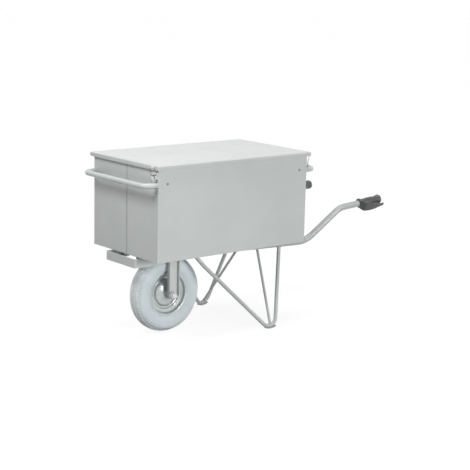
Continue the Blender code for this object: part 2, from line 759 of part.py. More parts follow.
def make_hoop(name, x, out, parent):
    """The wire hoop: its ends turn into the lever, its bar stands in front of the keeper's hook."""
    leg = hoop_leg_y()
    low_x = x + out * HOOP_PIVOT_OUT
    high_x = x + out * (keeper_tip() + GAP + HOOP_WIRE_RADIUS)
    high_z = LIP_BOTTOM + 0.0065
    stub = LEVER_HALF_WIDTH - LATCH_SHEET
    corners = [(low_x, LATCH_Y - stub, HOOP_PIVOT_Z), (low_x, LATCH_Y - leg, HOOP_PIVOT_Z),
               (high_x, LATCH_Y - leg, high_z), (high_x, LATCH_Y + leg, high_z),
               (low_x, LATCH_Y + leg, HOOP_PIVOT_Z), (low_x, LATCH_Y + stub, HOOP_PIVOT_Z)]
    small = HOOP_WIRE_RADIUS * 1.1
    path = bent_path(corners, (small, 0.004, 0.004, small), 3)
    bm = bmesh.new()
    add_pipe(bm, path, HOOP_WIRE_RADIUS, 0, 8, (out, 0, 0))
    piece("latch_hoop_" + name, bm, ZINC, parent)


def rail_corners(side):
    """Corner points of a main tube: straight under the box, up behind it, then back to the grip."""
    upper_x = REAR_BEND_X + HANDLE_RUN
    upper_z = RAIL_Z + HANDLE_RISE
    end_z = upper_z + TIP_RUN * TIP_SLOPE
    return [Vector((x, side * rail_y(x), z)) for x, z in
            ((RAIL_FRONT_X, RAIL_Z), (REAR_BEND_X, RAIL_Z), (upper_x, upper_z), (TUBE_END_X, end_z))]


def make_rail(name, side):
    """A main tube; returns the space it takes up under the box, for cutting the legs to it."""
    path = bent_path(rail_corners(side), (LOWER_BEND_RADIUS, UPPER_BEND_RADIUS), 5)
    bm = bmesh.new()
    add_pipe(bm, path, RAIL_RADIUS, RAIL_WALL, 16, (0, 1, 0))
    rail = piece("rail_" + name, bm, PAINT, CART)
    holes = bmesh.new()
    for _, x, y in rail_screws():
        if y * side > 0:
            add_rod(holes, (x, y, RAIL_Z), (x, y, RAIL_Z + 0.03), bore(SCREW_RADIUS, 12), 12)
    cut(rail, hidden("rail_holes_" + name, holes))
    space = bmesh.new()
    ends = [Vector((x, side * rail_y(x), RAIL_Z)) for x in (WHEEL_X, BOX_LENGTH)]
    add_pipe(space, bent_path(ends, (), 0), bore(RAIL_RADIUS, 16), 0, 16, (0, 1, 0))
    return hidden("rail_space_" + name, space)


def leg_path(side):
    """Centre line of a leg: down from the main tube, round the foot and up again."""
    front_x = WHEEL_X + LEG_BEHIND_AXLE
    rear_x = BOX_LENGTH - LEG_REAR_INSET
    front = Vector((front_x, rail_y(front_x), RAIL_Z))
    toe = Vector((FOOT_FRONT_X, FOOT_HALF_TRACK - FOOT_TOE_OUT, FOOT_Z))
    heel = Vector((FOOT_FRONT_X + FOOT_LENGTH, FOOT_HALF_TRACK + FOOT_TOE_OUT, FOOT_Z))
    rear = Vector((rear_x, rail_y(rear_x), RAIL_Z))
    share = KNEE_DROP / (RAIL_Z - FOOT_Z)
    knee = Vector((front_x + KNEE_BACK, front.y + (toe.y - front.y) * share, RAIL_Z - KNEE_DROP))
    corners = [Vector((p.x, side * p.y, p.z)) for p in (front, knee, toe, heel, rear)]
    return bent_path(corners, (KNEE_BEND_RADIUS, FOOT_BEND_RADIUS, FOOT_BEND_RADIUS), 4)


def make_leg(name, side, rail_space):
    """A V leg of one bent tube; returns the space it takes up, for cutting the strut to it."""
    bm = bmesh.new()
    add_pipe(bm, leg_path(side), LEG_RADIUS, LEG_WALL, 12, (0, 1, 0))
    leg = piece("leg_" + name, bm, PAINT, CART)
    cut(leg, rail_space)
    space = bmesh.new()
    add_pipe(space, leg_path(side), bore(LEG_RADIUS, 12), 0, 12, (0, 1, 0))
    return hidden("leg_space_" + name, space)


def make_shoe(name, side):
    """A curved wear plate under the foot bend."""
    path = leg_path(side)
    under = [(p, d) for p, d in path if p.z < FOOT_Z + LEG_RADIUS * 1.1 and p.x > FOOT_FRONT_X]
    top = -LEG_RADIUS - GAP
    section = rectangle((-SHOE_WIDTH / 2, top - SHOE_THICKNESS), (SHOE_WIDTH / 2, top))
    bm = bmesh.new()
    add_bar(bm, under, section, (0, 0, 1), level=True)
    piece("foot_shoe_" + name, bm, PAINT, CART)


def cross_xs():
    return (("front", WHEEL_X + CROSS_FRONT_SETBACK), ("rear", BOX_LENGTH - LEG_REAR_INSET - CROSS_REAR_SETBACK))


def make_cross_members():
    """Flat bars welded between the main tubes."""
    for name, x in cross_xs():
        room = RAIL_RADIUS / math.cos(RAIL_ANGLE) + 2 * GAP
        front = x - CROSS_WIDTH / 2
        rear = x + CROSS_WIDTH / 2
        y0 = rail_y(front) - room
        y1 = rail_y(rear) - room
        outline = [(front, -y0), (rear, -y1), (rear, y1), (front, y0)]
        bm = bmesh.new()
        add_plate(bm, outline, "Z", RAIL_Z - CROSS_THICKNESS / 2, RAIL_Z + CROSS_THICKNESS / 2)
        piece("cross_member_" + name, bm, PAINT, CART)


def make_strut(name, side, leg_space):
    """A round bar from the foot up to the rear cross member, close to the cart's middle plane."""
    foot = Vector((FOOT_FRONT_X + FOOT_LENGTH / 2, side * FOOT_HALF_TRACK, FOOT_Z))
    head = Vector((cross_xs()[1][1], side * STRUT_HALF_GAP, RAIL_Z))
    bm = bmesh.new()
    add_rod(bm, foot, head, STRUT_RADIUS, 10)
    strut = piece("leg_strut_" + name, bm, PAINT, CART)
    cut(strut, leg_space)
    above = bmesh.new()
    low = RAIL_Z - CROSS_THICKNESS / 2 - GAP
    reach = 4 * STRUT_RADIUS
    add_box(above, (head.x - reach, head.y - reach, low), (head.x + reach, head.y + reach, RAIL_Z + reach))
    cut(strut, hidden("strut_top_" + name, above))


def make_fork_leg(name, side):
    """A pressed channel from the crown down past the axle, open towards the wheel."""
    half = FORK_WIDTH / 2
    top = FLOOR_Z - 2 * GAP - CROWN_THICKNESS
    outline = arc((WHEEL_X, TYRE_RADIUS), half, 180, 360, 8) + [(WHEEL_X + half, top), (WHEEL_X - half, top)]
    outer = side * FORK_OUTER_Y
    inner = side * (FORK_OUTER_Y - FORK_DEPTH)
    bm = bmesh.new()
    add_pan(bm, outline, "Y", outer, inner, FORK_SHEET, FORK_SHEET)
    leg = piece("fork_leg_" + name, bm, PAINT, CART)
    hole = bmesh.new()
    add_rod(hole, (WHEEL_X, outer - 0.006, TYRE_RADIUS), (WHEEL_X, outer + 0.006, TYRE_RADIUS),
            bore(AXLE_RADIUS, 16), 16)
    cut(leg, hidden("fork_hole_" + name, hole))


def make_fork_crown():
    """A flat bar over the wheel that ties the fork legs to the main tubes, under the floor."""
    reach = rail_y(FORK_FRONT_X) - RAIL_RADIUS / math.cos(RAIL_ANGLE) - 2 * GAP
    half = FORK_WIDTH / 2
    top = FLOOR_Z - GAP
    bm = bmesh.new()
    add_box(bm, (WHEEL_X - half, -reach, top - CROWN_THICKNESS), (WHEEL_X + half, reach, top))
    piece("fork_crown", bm, PAINT, CART)


def make_bumper():
    """A U of flat bar in front of the wheel."""
    half = bumper_inner_y() + BUMPER_THICKNESS / 2
    front = -BUMPER_REACH + BUMPER_THICKNESS / 2
    middle = FLOOR_Z - GAP - BRACKET_SHEET - BUMPER_HEIGHT / 2
    corners = [(BUMPER_ARM, half, middle), (front, half, middle),
               (front, -half, middle), (BUMPER_ARM, -half, middle)]
    path = bent_path(corners, (BUMPER_CORNER, BUMPER_CORNER), 4)
    low = (-BUMPER_THICKNESS / 2, -BUMPER_HEIGHT / 2)
    high = (BUMPER_THICKNESS / 2, BUMPER_HEIGHT / 2)
    bm = bmesh.new()
    add_bar(bm, path, rectangle(low, high), (0, 0, 1))
    piece("front_bumper", bm, PAINT, CART)


def make_bumper_bracket(name, side):
    """An angle under the floor, on the inside of one of the bumper's arms."""
    face = bumper_inner_y() - GAP
    inner = face - BRACKET_WIDTH
    roof = FLOOR_Z - GAP
    under = roof - BRACKET_SHEET
    low = under - BRACKET_WIDTH
    outline = [(inner, roof), (face, roof), (face, low), (face - BRACKET_SHEET, low),
               (face - BRACKET_SHEET, under), (inner, under)]
    bm = bmesh.new()
    add_plate(bm, [(side * y, z) for y, z in outline], "X",
              BRACKET_X - BRACKET_LENGTH / 2, BRACKET_X + BRACKET_LENGTH / 2)
    piece("bumper_bracket_" + name, bm, PAINT, CART)


def grip_frame(side):
    """The grip's mouth, the direction along it, and the directions outwards and up."""
    corners = rail_corners(side)
    along = (corners[-1] - corners[-2]).normalized()
    end = corners[-1] + along * GRIP_END_WALL
    out = Vector((0, side, 0))
    out = (out - along * out.dot(along)).normalized()
    up = along.cross(out) * side
    return end - along * GRIP_LENGTH, along, out, up


def make_grip(name, side):
    """A moulded sleeve closed at its end, with a knuckle guard low on its outer side."""
    mouth, along, out, up = grip_frame(side)
    length = GRIP_LENGTH
    inner = bore(RAIL_RADIUS, 16)
    depth = length - GRIP_END_WALL + GAP
    edge = 0.003
    profile = [(0, depth), (inner, depth), (inner, 0), (GRIP_COLLAR_RADIUS - edge, 0),
               (GRIP_COLLAR_RADIUS, edge), (GRIP_COLLAR_RADIUS, 0.07 * length),
               (GRIP_NECK_RADIUS, 0.14 * length), (GRIP_NECK_RADIUS, 0.26 * length),
               (GRIP_PALM_RADIUS, 0.50 * length), (GRIP_NECK_RADIUS, 0.74 * length),
               (GRIP_END_RADIUS, 0.86 * length), (GRIP_END_RADIUS, length - 2 * edge),
               (GRIP_END_RADIUS - 2 * edge, length), (0, length)]
    bm = bmesh.new()
    add_turned(bm, profile, mouth, along, 16, closed=False)
    grip = piece("grip_" + name, bm, PLASTIC, CART)
    tilt = math.radians(GUARD_TILT)
    away = out * math.cos(tilt) - up * math.sin(tilt)
    root = GRIP_NECK_RADIUS - edge / 2
    reach = GUARD_STANDOFF - GUARD_THICKNESS / 2
    corners = [mouth + along * share * length + away * off for share, off in
               ((0.05, root), (0.17, reach), (0.93, reach), (0.96, root))]
    bend = 2 * GUARD_THICKNESS
    path = bent_path(corners, (bend, bend), 4)
    sections = []
    for i in range(len(path)):
        share = i / (len(path) - 1)
        half = (GUARD_FRONT_HEIGHT + (GUARD_REAR_HEIGHT - GUARD_FRONT_HEIGHT) * share) / 2
        thin = GUARD_THICKNESS / 2
        sections.append([(-half, -thin * 0.4), (-half * 0.8, -thin), (half * 0.8, -thin), (half, -thin * 0.4),
                         (half, thin * 0.4), (half * 0.8, thin), (-half * 0.8, thin), (-half, thin * 0.4)])
    guard = bmesh.new()
    add_bar(guard, path, sections, away)
    join(grip, hidden("guard_" + name, guard))


def make_wheel():
    hub = (WHEEL_X, 0, TYRE_RADIUS)
    axis = (0, 1, 0)
    half = TYRE_WIDTH / 2
    flange = RIM_RADIUS
    tall = TYRE_RADIUS - flange
    lip = 0.78 * half
    quarter = [(flange + 0.001, lip), (flange + 0.18 * tall, 0.90 * half), (flange + 0.42 * tall, half),
               (flange + 0.66 * tall, 0.955 * half), (flange + 0.86 * tall, 0.73 * half),
               (flange + 0.965 * tall, 0.43 * half), (TYRE_RADIUS, 0.15 * half)]
    inside = [(WELL_RADIUS + GAP, 0.62 * half), (WELL_RADIUS + GAP, 0.70 * half)]
    side = inside + quarter
    profile = side + [(r, -y) for r, y in reversed(side)]
    bm = bmesh.new()
    add_turned(bm, profile, hub, axis, WHEEL_SEGMENTS)
    piece("tyre", bm, TYRE, WHEEL_AXIS)
    for name, turn in sides():
        bm = bmesh.new()
        rim = rim_profile(half, lip)
        add_turned(bm, [(r, turn * y) for r, y in rim], hub, axis, WHEEL_SEGMENTS)
        piece("rim_" + name, bm, ZINC, WHEEL_AXIS)
    bm = bmesh.new()
    seat = bore(BEARING_RADIUS, 20)
    mid = HUB_LENGTH / 2 - BEARING_WIDTH - GAP
    end = HUB_LENGTH / 2
    shoulder = BEARING_RADIUS - 0.003
    profile = [(seat, -end), (HUB_RADIUS, -end), (HUB_RADIUS, end), (seat, end), (seat, mid),
               (shoulder, mid), (shoulder, -mid), (seat, -mid)]
    add_turned(bm, profile, hub, axis, 20)
    piece("hub", bm, ZINC, WHEEL_AXIS)
    for name, turn in sides():
        bm = bmesh.new()
        centre = Vector(hub) + Vector((0, turn * (end - BEARING_WIDTH / 2), 0))
        add_ring(bm, centre, axis, bore(AXLE_RADIUS, 20), BEARING_RADIUS, BEARING_WIDTH, 20)
        piece("bearing_" + name, bm, STEEL, WHEEL_AXIS)
    bm = bmesh.new()
    inner = bore(AXLE_RADIUS, 16)
    add_ring(bm, hub, axis, inner, inner + SPACER_WALL, HUB_LENGTH - 2 * BEARING_WIDTH - 2 * GAP, 16)
    piece("bearing_spacer", bm, ZINC, WHEEL_AXIS)


def rim_profile(half, lip):
    """Section of one pressed rim half: flange, bead seat, dished disc and hub seat."""
    sheet = RIM_SHEET
    hole = bore(HUB_RADIUS, 20)
    well = WELL_RADIUS
    outer = [(RIM_RADIUS, lip + sheet), (well - sheet * 0.4, lip - 0.2 * sheet), (well - sheet, 0.30 * half),
             (0.90 * well, 0.22 * half), (0.76 * well, 0.30 * half), (0.68 * well, 0.50 * half),
             (0.44 * well, 0.70 * half), (hole, 0.74 * half)]
    inner = [(hole, 0.74 * half - sheet), (0.44 * well - sheet * 0.4, 0.70 * half - sheet),
             (0.68 * well - sheet, 0.50 * half - sheet), (0.76 * well - sheet, 0.30 * half - sheet),
             (0.90 * well, 0.22 * half - sheet), (well - sheet, GAP), (well, GAP), (well, lip - sheet),
             (RIM_RADIUS, lip + GAP)]
    return outer + inner


def make_axle():
    """The fixed axle with its nuts, and the spacers between the bearings and the fork legs."""
    axis = (0, 1, 0)
    hub = Vector((WHEEL_X, 0, TYRE_RADIUS))
    nut_y = FORK_OUTER_Y + GAP
    end = hub.y + nut_y + NUT_HEIGHT + AXLE_END
    bm = bmesh.new()
    add_rod(bm, hub - Vector((0, end, 0)), hub + Vector((0, end, 0)), AXLE_RADIUS, 16)
    piece("axle", bm, ZINC, CART)
    low = HUB_LENGTH / 2 + GAP
    high = FORK_OUTER_Y - FORK_SHEET - GAP
    inner = bore(AXLE_RADIUS, 16)
    for name, side in sides():
        bm = bmesh.new()
        centre = hub + Vector((0, side * (nut_y + NUT_HEIGHT / 2), 0))
        corner = NUT_WIDTH / 2 / math.cos(math.pi / 6)
        add_ring(bm, centre, axis, bore(AXLE_RADIUS, 6), corner, NUT_HEIGHT, 6)
        piece("axle_nut_" + name, bm, ZINC, CART)
        bm = bmesh.new()
        centre = hub + Vector((0, side * (low + high) / 2, 0))
        add_ring(bm, centre, axis, inner, inner + SPACER_WALL, high - low, 16)
        piece("axle_spacer_" + name, bm, ZINC, CART)


def make_box():
    for name, side in sides():
        make_shell(name, side)
    make_floor()
    make_top_rim()
    make_lid_seal()
    for name, x, out in end_places():
        make_handle(name, x, out)
    make_screws()


def make_lid_and_latches():
    make_lid()
    make_lid_stiffener()
    make_hinge()
    for name, x, out in end_places():
        pin = (x + out * LATCH_PIN_OUT, LATCH_Y, LATCH_PIN_Z)
        pivot = (x + out * HOOP_PIVOT_OUT, LATCH_Y, HOOP_PIVOT_Z)
        make_keeper(name, x, out)
        make_latch_base(name, x, out)
        make_latch_pin(name, x, out)
        make_lever(name, x, out, empty("latch_lever_axis_" + name, pin, CART))
        make_hoop(name, x, out, empty("latch_hoop_axis_" + name, pivot, CART))


def make_frame():
    for name, side in sides():
        rail_space = make_rail(name, side)
        leg_space = make_leg(name, side, rail_space)
        make_shoe(name, side)
        make_strut(name, side, leg_space)
        make_fork_leg(name, side)
        make_bumper_bracket(name, side)
        make_grip(name, side)
    make_cross_members()
    make_fork_crown()
    make_bumper()


def centre_cart():
    """Move the cart so that the middle of its length lies over the origin."""
    bpy.context.view_layer.update()
    graph = bpy.context.evaluated_depsgraph_get()
    xs = []
    for obj in bpy.context.scene.objects:
        if obj.type == "MESH" and not obj.hide_render:
            shape = obj.evaluated_get(graph)
            xs += [(shape.matrix_world @ Vector(corner)).x for corner in shape.bound_box]
    CART.location.x -= (min(xs) + max(xs)) / 2
    bpy.context.view_layer.update()
    print("length", round(max(xs) - min(xs), 4), "front wall at x", round(CART.location.x, 5))


clear_scene()
PAINT = ((0.50, 0.53, 0.52), 0.45, 0.0)
ZINC = ((0.62, 0.63, 0.64), 0.35, 1.0)
STEEL = ((0.55, 0.55, 0.56), 0.3, 1.0)
TYRE = ((0.52, 0.57, 0.60), 0.75, 0.0)
RUBBER = ((0.03, 0.03, 0.03), 0.85, 0.0)
PLASTIC = ((0.07, 0.075, 0.08), 0.55, 0.0)
CART = empty("cart", (0, 0, 0))
LID_AXIS = empty("lid_axis", (BOX_LENGTH / 2, HINGE_Y, HINGE_Z), CART)
WHEEL_AXIS = empty("wheel_axis", (WHEEL_X, 0, TYRE_RADIUS), CART)
make_box()
make_lid_and_latches()
make_frame()
make_wheel()
make_axle()
centre_cart()
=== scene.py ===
# %% [markdown]
# A box barrow: a long steel tool box with a lid, on one wheel and two bent legs.
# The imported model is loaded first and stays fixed, so that every piece made here
# is placed by what the working model says, in metres, and nothing has to be fitted.

# %% Load the working model
import math
import bmesh
import bpy
from mathutils import Matrix, Vector


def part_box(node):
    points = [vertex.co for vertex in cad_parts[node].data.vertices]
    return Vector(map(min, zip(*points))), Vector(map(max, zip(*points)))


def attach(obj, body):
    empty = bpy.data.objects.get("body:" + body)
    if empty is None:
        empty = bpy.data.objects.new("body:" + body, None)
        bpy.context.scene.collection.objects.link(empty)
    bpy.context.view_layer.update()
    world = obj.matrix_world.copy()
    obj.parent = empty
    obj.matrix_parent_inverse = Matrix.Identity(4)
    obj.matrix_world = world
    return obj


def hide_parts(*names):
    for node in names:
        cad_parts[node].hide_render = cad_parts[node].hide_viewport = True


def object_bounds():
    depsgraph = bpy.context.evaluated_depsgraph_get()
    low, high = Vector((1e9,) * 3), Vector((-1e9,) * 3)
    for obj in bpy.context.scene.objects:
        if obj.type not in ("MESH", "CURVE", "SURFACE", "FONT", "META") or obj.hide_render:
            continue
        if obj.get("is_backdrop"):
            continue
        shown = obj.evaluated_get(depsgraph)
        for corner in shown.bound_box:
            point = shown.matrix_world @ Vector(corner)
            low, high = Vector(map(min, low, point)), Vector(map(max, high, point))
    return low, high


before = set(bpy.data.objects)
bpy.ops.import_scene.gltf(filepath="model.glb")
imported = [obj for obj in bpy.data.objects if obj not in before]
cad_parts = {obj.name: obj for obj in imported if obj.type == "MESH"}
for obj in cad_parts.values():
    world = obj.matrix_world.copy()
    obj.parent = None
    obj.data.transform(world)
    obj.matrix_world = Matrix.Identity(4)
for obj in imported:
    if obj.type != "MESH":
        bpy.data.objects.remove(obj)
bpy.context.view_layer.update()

# %% [markdown]
# The camera stands where the photographer stood: off the near corner at the wheel end and
# a little above the lid. A long lens keeps the box edges nearly parallel, as they are in
# the picture, and the slight roll is that of a camera held by hand.

# %% Set up the camera
CAMERA_AT = Vector((-4.27232, -5.1288, 1.8328))
AZIMUTH, ELEVATION, ROLL = -39.79, 11.75, -1.44
LENS, SENSOR_WIDTH = 98.8, 36
scene = bpy.context.scene


def seen_from(azimuth, elevation):
    """Unit vector from the object towards a place at those angles in degrees."""
    azimuth, elevation = math.radians(azimuth), math.radians(elevation)
    flat = math.cos(elevation)
    return Vector((math.sin(azimuth) * flat, -math.cos(azimuth) * flat, math.sin(elevation)))


back = seen_from(AZIMUTH, ELEVATION)
level = Vector((0, 0, 1)).cross(back).normalized()
right = Matrix.Rotation(-math.radians(ROLL), 3, back) @ level
camera = bpy.data.objects.new("camera", bpy.data.cameras.new("camera"))
camera.data.lens = LENS
camera.data.sensor_width = SENSOR_WIDTH
turn = Matrix((right, back.cross(right), back)).transposed().to_4x4()
camera.matrix_world = Matrix.Translation(CAMERA_AT) @ turn
scene.collection.objects.link(camera)
scene.camera = camera
print("camera at", tuple(round(v, 3) for v in CAMERA_AT))

# %% [markdown]
# Materials are built from shader nodes. Wiring nodes by hand hides the sums they do, so
# one small class wraps a socket and lets Python's own operators add the Math nodes. Any
# other node comes from its node method, which sets the node's options before its sockets.

# %% Shader sums in Python
class Shade:
    """One output socket in a material's node tree."""

    def __init__(self, tree, socket=None):
        self.tree = tree
        self.socket = socket

    def node(self, kind, settings, inputs, output=0):
        """Add a node: its settings first, then values or links for its sockets."""
        made = self.tree.nodes.new("ShaderNode" + kind)
        for name, value in settings.items():
            if name == "stops":
                for stop, (place, colour) in zip(made.color_ramp.elements, value):
                    stop.position = place
                    stop.color = (*colour, 1)
            else:
                setattr(made, name, value)
        for name, value in inputs.items():
            if isinstance(value, Shade):
                self.tree.links.new(value.socket, made.inputs[name])
            else:
                made.inputs[name].default_value = value
        return Shade(self.tree, made.outputs[output])

    def sum(self, operation, *values):
        return self.node("Math", {"operation": operation}, dict(enumerate(values)))

    def __add__(self, other):
        return self.sum("ADD", self, other)

    def __sub__(self, other):
        return self.sum("SUBTRACT", self, other)

    def __rsub__(self, other):
        return self.sum("SUBTRACT", other, self)

    def __mul__(self, other):
        return self.sum("MULTIPLY", self, other)

    __radd__ = __add__
    __rmul__ = __mul__

    def between(self, low, high):
        """0 below low, 1 above high, and a smooth rise from one to the other."""
        settings = {"interpolation_type": "SMOOTHSTEP"}
        inputs = {"Value": self, "From Min": low, "From Max": high}
        return self.node("MapRange", settings, inputs)

    def noise(self, scale, detail, roughness=0.5, stretch=(1, 1, 1)):
        """Noise from 0 to 1 over object coordinates, which this socket holds."""
        place = self.node("Mapping", {}, {"Vector": self, "Scale": stretch})
        inputs = {"Vector": place, "Scale": scale, "Detail": detail, "Roughness": roughness}
        return self.node("TexNoise", {}, inputs)

    def mix(self, first, second):
        """A colour between two others, with this value as the share of the second."""
        return self.node("Mix", {"data_type": "RGBA"}, {0: self, 6: first, 7: second}, 2)


print("shader sums ready")

# %% [markdown]
# The light is soft, and each lamp has one job: a low sun lamp from the camera's side lights
# the long side and the wheel, a smaller one in the same place puts highlights on metal and
# paint, a square lamp high beyond the wheel end lights the end wall and throws the carrying
# handle's soft shadow down it, one near the camera brightens the near corner, and suns from
# above and behind light the lid and the sides that the camera doesn't see. A sun lamp with
# a wide disc lights near and far parts alike, while a square lamp fades with distance. The
# broad low lamps stay out of glossy rays, or the lid would mirror them as one white glare.

# %% Hang the lamps
SUNS = {
    "side_light": dict(azimuth=9, elevation=12, width=26, strength=0.42, glossy=False),
    "key_light": dict(azimuth=9, elevation=12, width=10, strength=0.18),
    "top_light": dict(azimuth=0, elevation=88, width=24, strength=0.375,
                      tint=(1, 0.975, 0.985)),
    "rear_light": dict(azimuth=100, elevation=12, width=24, strength=0.42, glossy=False),
    "far_light": dict(azimuth=190, elevation=12, width=24, strength=0.50, glossy=False),
}
SOFTBOXES = {
    "end_light": dict(azimuth=-89, elevation=48, distance=2.6, size=0.97, strength=0.54),
    "near_light": dict(azimuth=-35, elevation=9, distance=2.5, size=0.7, strength=0.19,
                       glossy=False),
}


def hang(lamp, towards, glossy, place=(0, 0, 0)):
    """Put a lamp at a place, shining back along a direction."""
    holder = bpy.data.objects.new(lamp.name, lamp)
    holder.rotation_euler = towards.to_track_quat("Z", "Y").to_euler()
    holder.location = place
    holder.visible_camera = False
    holder.visible_glossy = glossy
    scene.collection.objects.link(holder)


def add_sun(name, azimuth, elevation, width, strength, tint=(1, 1, 1), glossy=True):
    """A sun lamp whose strength 1 shows a colour as it is written on a face turned to it."""
    lamp = bpy.data.lights.new(name, "SUN")
    lamp.energy = math.pi * strength
    lamp.angle = math.radians(width)
    lamp.color = tint
    hang(lamp, seen_from(azimuth, elevation), glossy)


def add_softbox(name, azimuth, elevation, distance, size, strength, glossy=True):
    """A square lamp aimed at the near front corner, with that strength on the corner."""
    lamp = bpy.data.lights.new(name, "AREA")
    lamp.size = size
    lamp.energy = math.pi ** 2 * distance ** 2 * strength
    towards = seen_from(azimuth, elevation)
    low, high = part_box("box_shell_near")
    corner = Vector((low.x, low.y, (low.z + high.z) / 2))
    hang(lamp, towards, glossy, corner + towards * distance)


for name, values in SUNS.items():
    add_sun(name, **values)
for name, values in SOFTBOXES.items():
    add_softbox(name, **values)

# %% [markdown]
# The barrow stands on a plain floor in front of nothing, and both show as white. Light
# Path tells rays apart: the camera and mirrored rays meet a white ground, while the rays
# that carry light from surface to surface meet almost none, so it hardly lights the object.

# %% White ground and floor
FILL_LIGHT, WHITE = 0.02, (1, 1, 1, 1)
FLOOR_TONE, FLOOR_GLOW, FLOOR_BOUNCE = 0.18, 0.87, 0.04
FLOOR_SIZE, FLOOR_DROP, FLOOR_ROUGHNESS = 40, 0.0005, 0.9


def background_share(shade):
    """1 for camera, glossy and transmission rays, which should meet a white ground."""
    path = shade.tree.nodes.new("ShaderNodeLightPath")
    rays = ("Is Camera Ray", "Is Glossy Ray", "Is Transmission Ray")
    camera_ray, glossy, through = (Shade(shade.tree, path.outputs[r]) for r in rays)
    return shade.sum("MAXIMUM", camera_ray, shade.sum("MAXIMUM", glossy, through))


world = bpy.data.worlds.new("studio")
world.use_nodes = True
scene.world = world
sky = Shade(world.node_tree)
background = world.node_tree.nodes["Background"]
background.inputs["Color"].default_value = WHITE
strength = FILL_LIGHT + (1 - FILL_LIGHT) * background_share(sky)
world.node_tree.links.new(strength.socket, background.inputs["Strength"])

floor_bm = bmesh.new()
bmesh.ops.create_grid(floor_bm, x_segments=1, y_segments=1, size=FLOOR_SIZE)
bmesh.ops.translate(floor_bm, verts=floor_bm.verts, vec=(0, 0, -FLOOR_DROP))
floor_mesh = bpy.data.meshes.new("floor")
floor_bm.to_mesh(floor_mesh)
floor_bm.free()
floor = bpy.data.objects.new("floor", floor_mesh)
scene.collection.objects.link(floor)
floor_look = bpy.data.materials.new("floor")
floor_look.use_nodes = True
floor_shader = floor_look.node_tree.nodes["Principled BSDF"]
floor_shader.inputs["Base Color"].default_value = (FLOOR_TONE, FLOOR_TONE, FLOOR_TONE, 1)
floor_shader.inputs["Roughness"].default_value = FLOOR_ROUGHNESS
floor_shader.inputs["Specular IOR Level"].default_value = 0.0
floor_shader.inputs["Emission Strength"].default_value = FLOOR_GLOW
bounce = (FLOOR_BOUNCE, FLOOR_BOUNCE, FLOOR_BOUNCE, 1)
glow = background_share(Shade(floor_look.node_tree)).mix(bounce, WHITE)
floor_look.node_tree.links.new(glow.socket, floor_shader.inputs["Emission Color"])
floor_mesh.materials.append(floor_look)
floor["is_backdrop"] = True

scene.view_settings.view_transform = "Standard"
print("floor and white ground ready")

# %% [markdown]
# The whole barrow has one finish, a light grey powder coat. The welded tubes get a copy
# of it a shade darker, which is painted shade: it stands in for the shade on the tubes.
# Real powder coat is never one flat colour: it has a fine orange peel that breaks up
# reflections, a faint cloudiness, and dust that lies on it. A look function wires such a
# pattern into Base Color, Roughness and Normal, and sets everything that is the same all
# over on the shader itself.

# %% Painted steel
looks = {}


def colour(red, green, blue):
    """A colour written as it looks on screen, from 0 to 255, as the linear values nodes use."""
    def linear(v):
        v /= 255
        return v / 12.92 if v <= 0.04045 else ((v + 0.055) / 1.055) ** 2.4
    return (linear(red), linear(green), linear(blue), 1)


def new_look(name, slot, pattern, **constants):
    """A material: pattern(places) returns what varies, constants go straight on the shader."""
    look = bpy.data.materials.new(name)
    look.use_nodes = True
    tree = look.node_tree
    shader = tree.nodes["Principled BSDF"]
    for socket, value in constants.items():
        shader.inputs[socket.replace("_", " ")].default_value = value
    places = Shade(tree, tree.nodes.new("ShaderNodeTexCoord").outputs["Object"])
    for socket, value in pattern(places).items():
        tree.links.new(value.socket, shader.inputs[socket.replace("_", " ")])
    looks[name] = (look, slot)
    print("look", name, "with", len(tree.nodes), "nodes")


def bump(height, depth):
    """A Bump node for a height from 0 to 1 that stands for that depth in metres."""
    return height.node("Bump", {}, {"Height": height, "Distance": depth, "Strength": 1.0})


def clouded(share, dark, light):
    """A colour that goes from dark to light as a noise rises through its middle range."""
    return share.between(0.3, 0.7).mix(colour(*dark), colour(*light))


BOX_TONES = ((199, 204, 202), (206, 210, 208))
# Painted shade: the tubes' tones are the box's tones made darker for the shade on the tubes.
SHADED_FRAME_TONES = ((188, 193, 191), (196, 200, 198))


def powder_coat(places, tones=BOX_TONES):
    cloud = places.noise(3.5, 4)
    grain = places.noise(900, 2)
    peel = places.noise(260, 2, 0.4)
    dust = places.noise(38, 5, 0.6).between(0.5, 0.8)
    tone = clouded(0.75 * cloud + 0.25 * grain, *tones)
    return {
        "Base_Color": (0.1 * dust).mix(tone, colour(214, 216, 212)),
        "Roughness": 0.16 + 0.03 * cloud,
        "Normal": bump(peel, 0.000015),
    }


# A darker copy of the box's coat, which is painted shade on the welded tubes.
def shaded_frame_coat(places):
    return powder_coat(places, SHADED_FRAME_TONES)


new_look("powder_coat", "light_grey_paint", powder_coat, Specular_IOR_Level=0.4)
new_look("shaded_frame_coat", "light_grey_paint", shaded_frame_coat, Specular_IOR_Level=0.4)

# %% [markdown]
# Zinc plating on the latches, the axle and its nuts is a bright metal with cloudy patches
# of slightly different sheen. On screws and wire it is duller and darker, with blotches,
# and on the screw heads the darker tone is painted shade, for the shade in their sockets.
# The hinge strip is streaked along its length, as rolled sheet is. The wheel's pressed rims
# are silver, with fine marks from the press and from polishing. All are metals, so they
# take most of their look from what they reflect, and much of the variation is in Roughness.

# %% Plated metals
def zinc(places):
    patch = places.noise(70, 4, 0.65)
    scratch = places.noise(420, 3, 0.5, (1, 1, 6))
    return {
        "Base_Color": clouded(patch, (196, 198, 200), (228, 229, 230)),
        "Roughness": 0.16 + 0.18 * patch + 0.05 * scratch,
        "Normal": bump(scratch, 0.00004),
    }


def pressed_silver(places):
    patch = places.noise(24, 4, 0.6)
    marks = places.noise(240, 3, 0.55)
    return {
        "Base_Color": clouded(patch, (181, 186, 186), (200, 205, 205)),
        "Roughness": 0.17 + 0.10 * patch + 0.05 * marks,
        "Normal": bump(marks, 0.00003),
    }


